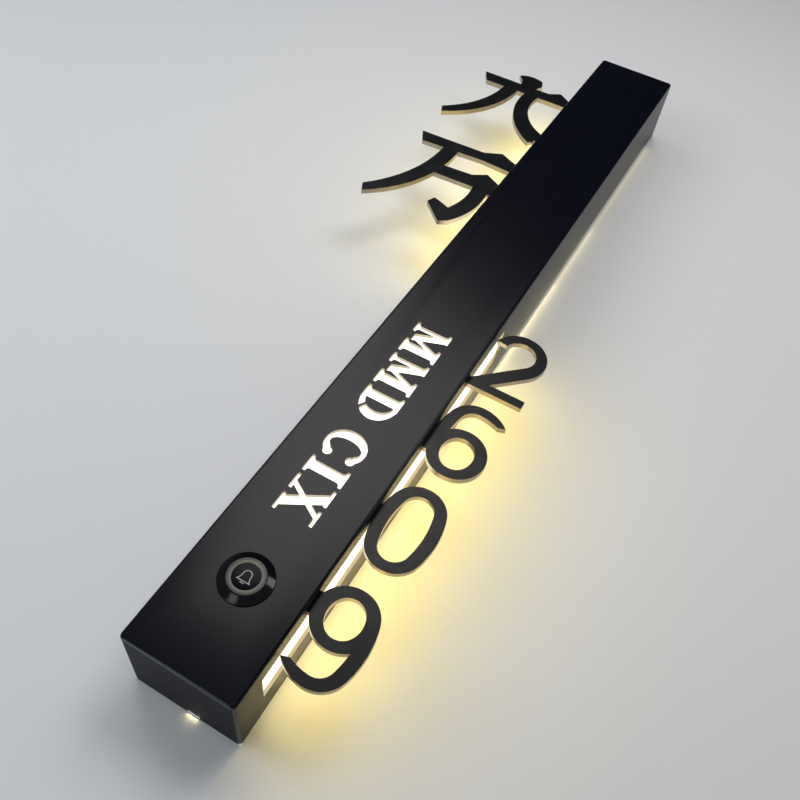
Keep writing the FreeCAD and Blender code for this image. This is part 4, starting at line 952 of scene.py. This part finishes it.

# %% [markdown]
# The spring behind the cap shortens when the cap is pushed. A smooth copy of the coil
# stands for it, at its full length.

# %% The spring
coil = shade(link("bell_push_spring", merged_copy("button_spring")), 60)
bright_steel.wear(coil)
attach(coil, "root")
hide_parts("button_spring")
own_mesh(coil)

# %% [markdown]
# The pictogram is an upright bell in thin silver lines, printed on the cap. It rides
# on the cap, so it moves when the cap is pushed. Each line is a hair higher than the
# last, so that no two front faces lie in one plane.

# %% The bell pictogram
LINE_WIDTH = 0.38
PRINT_HEIGHT, PRINT_STEP = 0.05, 0.004
DOME_WIDTH, DOME_HEIGHT, DOME_BASE = 1.75, 1.7, 1.0
BLUNTEST_MITRE = 0.4


def stroke_outline(points, width):
    """Outline of a polyline with a steady width, mitred at its corners."""
    points = [Vector(point) for point in points]
    ways = [(after - before).normalized() for before, after in zip(points, points[1:])]
    left, right = [], []
    for here, into, out in zip(points, ways[:1] + ways, ways + ways[-1:]):
        normal = Vector((-(into + out).y, (into + out).x)).normalized()
        spread = width / 2 / max(normal.dot(Vector((-into.y, into.x))), BLUNTEST_MITRE)
        left.append(tuple(here + normal * spread))
        right.append(tuple(here - normal * spread))
    return left + right[::-1]


dome_angles = [math.radians(angle) for angle in range(0, 91, 15)]
right_side = [(math.sin(angle) * DOME_WIDTH, DOME_BASE + math.cos(angle) * DOME_HEIGHT)
              for angle in dome_angles] + [(1.85, 0.1), (2.05, -0.9), (2.75, -2.0)]
left_side = [(-across, up) for across, up in right_side]
bell_lines = [
    left_side[::-1] + right_side[1:],
    [(-3.0, -2.05), (3.0, -2.05)],
    [(-0.85, -2.85), (0.85, -2.85)],
]
work = bmesh.new()
for line_number, line in enumerate(bell_lines):
    outline = [(x, z + BUTTON_Z) for x, z in stroke_outline(line, LINE_WIDTH)]
    add_prism(work, outline, CAP_FRONT - PRINT_HEIGHT - PRINT_STEP * line_number,
              CAP_FRONT + PRINT_HEIGHT)
bell_print = object_from(work, "bell_print")
silver_print.wear(bell_print)
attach(bell_print, "bell_button")
print("bell pictogram:", len(bell_lines), "lines")

# %% [markdown]
# ## The wall
#
# The photograph shows the sign on a pale surface that catches the glow. A wall panel
# takes its place, a hair behind the back plate. It has a cut-out behind the housing,
# so that the sign's back gets light too.

# %% Build the wall
WALL_Y = 0.3
WALL_REACH = 2500.0
HOLE_X, HOLE_Z = HALF_WIDTH - 0.2, -HOUSING_BOTTOM - 0.2


def rectangle(work, half_x, half_z):
    corners = ((-half_x, -half_z), (half_x, -half_z), (half_x, half_z), (-half_x, half_z))
    return [work.verts.new(Vector((x, WALL_Y, z)) * MM) for x, z in corners]


work = bmesh.new()
outer = rectangle(work, WALL_REACH, WALL_REACH)
inner = rectangle(work, HOLE_X, HOLE_Z)
for index in range(4):
    following = (index + 1) % 4
    work.faces.new((outer[index], outer[following], inner[following], inner[index]))
wall_mesh = bpy.data.meshes.new("wall_panel")
work.to_mesh(wall_mesh)
work.free()
wall = link("wall_panel", wall_mesh)
print("wall panel, faces towards", tuple(wall.data.polygons[0].normal))

# %% [markdown]
# The paint lets a camera that stands behind the wall look through, and nothing else.

# %% Paint the wall
wall_paint = Finish("wall_paint", (0.70, 0.71, 0.725), 0.55)
wall_paint.bump(wall_paint.noise(700), 0.02, 0.15)
wall_paint.wear(wall)
tree = wall_paint.tree
see_through = tree.nodes.new("ShaderNodeBsdfTransparent")
facing = tree.nodes.new("ShaderNodeNewGeometry")
ray = tree.nodes.new("ShaderNodeLightPath")
from_behind = math_node(tree, "MULTIPLY", facing.outputs["Backfacing"],
                        ray.outputs["Is Camera Ray"])
mix_shaders(tree, from_behind, wall_paint.shader.outputs[0], see_through.outputs[0],
            "Material Output")
print("wall paint:", len(tree.nodes), "nodes")

# %% [markdown]
# ## Light
#
# The room is dim, and darker still overhead. One bright patch hangs high in front, and
# the black face mirrors it as a grey sheen. The camera itself sees a plain grey room.

# %% The room
world = bpy.data.worlds.new("room")
scene.world = world
world.use_nodes = True
tree = world.node_tree
background = tree.nodes["Background"]
direction = tree.nodes.new("ShaderNodeTexCoord")


def world_patch(centre, near, far, outside, inside):
    """A number that goes smoothly from outside to inside as a direction nears the centre."""
    along = tree.nodes.new("ShaderNodeVectorMath")
    along.operation = "DOT_PRODUCT"
    along.inputs[1].default_value = Vector(centre).normalized()
    tree.links.new(direction.outputs["Generated"], along.inputs[0])
    limits = [math.cos(math.radians(angle)) for angle in (far, near)]
    return map_range(tree, along.outputs["Value"], *limits, outside, inside, "SMOOTHSTEP")


room_light = world_patch((0, 0, 1), 35, 65, 0.12, 0.02)
bright_patch = world_patch((-0.275, -0.80, 0.47), 2, 17.5, 0.0, 2.8)
tree.links.new(math_node(tree, "ADD", room_light, bright_patch), background.inputs["Strength"])
warmth = add_node(tree, "ShaderNodeValToRGB", Fac=bright_patch)
warmth.color_ramp.elements[0].color = (0.92, 0.96, 1.0, 1.0)
warmth.color_ramp.elements[1].color = (1.0, 0.965, 0.92, 1.0)
tree.links.new(warmth.outputs["Color"], background.inputs["Color"])
seen = add_node(tree, "ShaderNodeBackground", Color=(0.56, 0.57, 0.585, 1.0), Strength=1.0)
ray = tree.nodes.new("ShaderNodeLightPath")
mix_shaders(tree, ray.outputs["Is Camera Ray"], background.outputs[0], seen.outputs[0],
            "World Output")
print("room:", len(tree.nodes), "nodes")

# %% [markdown]
# Daylight comes from three windows that don't show in the gloss. The key window stands
# high in front and throws the shadow below the sign, and two cooler ones on the left
# fill that shadow. Two lights show in the push's bezel, and one shows in the bottom
# end and the bare edges. The rest wash the wall at the left and light the sign's back.

# %% Windows and lights
WARM_DAY, COOL_DAY, PALE_BLUE = (1.0, 0.98, 0.965), (0.885, 0.945, 1.0), (0.6, 0.84, 1.0)
PUSH = (0, FACE_Y, -208)
BOTTOM_EDGE = (0, FACE_Y, HOUSING_BOTTOM)


def area_lamp(name, place_mm, target_mm, size_mm, power, color=(1, 1, 1), hidden=None):
    """A lamp that the camera doesn't see, hidden from "glossy" or "diffuse" rays too."""
    data = bpy.data.lights.new(name, "AREA")
    data.shape = "RECTANGLE"
    data.size, data.size_y = size_mm[0] * MM, size_mm[1] * MM
    data.energy = power
    data.color = color
    lamp = bpy.data.objects.new(name, data)
    lamp.location = Vector(place_mm) * MM
    aim = Vector(target_mm) * MM - lamp.location
    lamp.rotation_euler = aim.to_track_quat("-Z", "Y").to_euler()
    lamp.visible_camera = False
    lamp.visible_glossy, lamp.visible_diffuse = hidden != "glossy", hidden != "diffuse"
    scene.collection.objects.link(lamp)
    return lamp


for name, place, target, size, power, color in (
        ("key_window", (100, -700, 300), (0, 0, -60), 400, 2.75, WARM_DAY),
        ("left_window", (-600, -600, -400), (-50, 0, 0), 500, 2.0, COOL_DAY),
        ("upper_left_window", (-800, -700, 300), (-200, 0, 0), 500, 1.5, COOL_DAY)):
    area_lamp(name, place, target, (size, size), power, color, hidden="glossy")
area_lamp("bezel_light_above", (470, -680, 410), PUSH, (340, 300), 0.9, hidden="diffuse")
area_lamp("bezel_light_below", (-220, -840, -750), PUSH, (300, 240), 0.32)
area_lamp("edge_light", (-270, -265, -1100), BOTTOM_EDGE, (500, 300), 1.8, PALE_BLUE, "diffuse")
for x, z, power in ((-1500, -500, 3), (-1100, -1500, 2.5)):
    area_lamp("far_wall_light", (x, -900, z), (x, 0, z), (900, 900), power, hidden="glossy")
for side in (-1, 1):
    area_lamp("back_light", (side * 900, 1300, 300), (0, 0, 0), (1500, 1500), 11)
print(len(bpy.data.lights), "windows and lights")

# %% [markdown]
# The sign's own light comes from lamps as long as its slots, because a lamp spreads
# over the wall with far less noise than a glowing sheet does. Beside each slot is an
# amber lamp, and nearer to the wall a weaker one for the pale band along the housing.
# A card stands for the lit wall where the bare edges mirror it. Above the right slot,
# eight lamps overlap along the relieved rear edge, so that their light fades upwards.
# The last lamp lights the cable notch.

# %% The sign's own light
AMBER, PALE_AMBER = (1.0, 0.72, 0.05), (1.0, 0.86, 0.45)
RIGHT_BASE, LEFT_BASE, LIT_WALL = (1.0, 0.9, 0.66), (1.0, 0.78, 0.25), (1.0, 0.72, 0.42)
RIGHT_SLOT, LEFT_SLOT = (16, 226), (268, 460)
RELIEF_TOPS, RELIEF_GLOW = (480, 440, 405, 370, 340, 310, 285, 260), 1.3e-5


def slot_lamp(name, side, heights, off_wall, y, width, power, color, tilt, hidden="glossy"):
    """A lamp between two heights over the bottom end, turned towards the wall by a tilt."""
    low, high = heights
    middle = Vector((side * (HALF_WIDTH + off_wall), y, HOUSING_BOTTOM + (low + high) / 2))
    aim = Vector((side * math.cos(math.radians(tilt)), math.sin(math.radians(tilt)), 0.0))
    return area_lamp(name, middle, middle + 100 * aim, (width, high - low), power, color, hidden)


slot_lamp("right_slot_light", 1, RIGHT_SLOT, 2.0, -26, 6, 0.06, AMBER, 30)
slot_lamp("left_slot_light", -1, LEFT_SLOT, 2.0, -26, 6, 0.054, AMBER, 30)
slot_lamp("right_base_light", 1, RIGHT_SLOT, 1.5, -9, 5, 0.008, RIGHT_BASE, 75)
slot_lamp("left_base_light", -1, LEFT_SLOT, 1.5, -9, 5, 0.0065, LEFT_BASE, 75)
card = slot_lamp("wall_reflection", 1, (26, 226), 10.0, -1.0, 19, 0.006, LIT_WALL, 0, "diffuse")
card.rotation_euler = Vector((0, -1, 0)).to_track_quat("-Z", "Z").to_euler()
relief_low = RIGHT_SLOT[1]
for high in RELIEF_TOPS:
    power = (high - relief_low) * RELIEF_GLOW
    slot_lamp("relief_light", 1, (relief_low, high), 0.4, -2.0, 2.4, power, PALE_AMBER, 0)
area_lamp("notch_light", (3.5, -0.6, HOUSING_BOTTOM - 0.2), (3.5, -0.4, -260), (5, 0.8),
          0.00014, PALE_AMBER, "glossy")
print(len(bpy.data.lights), "lamps")
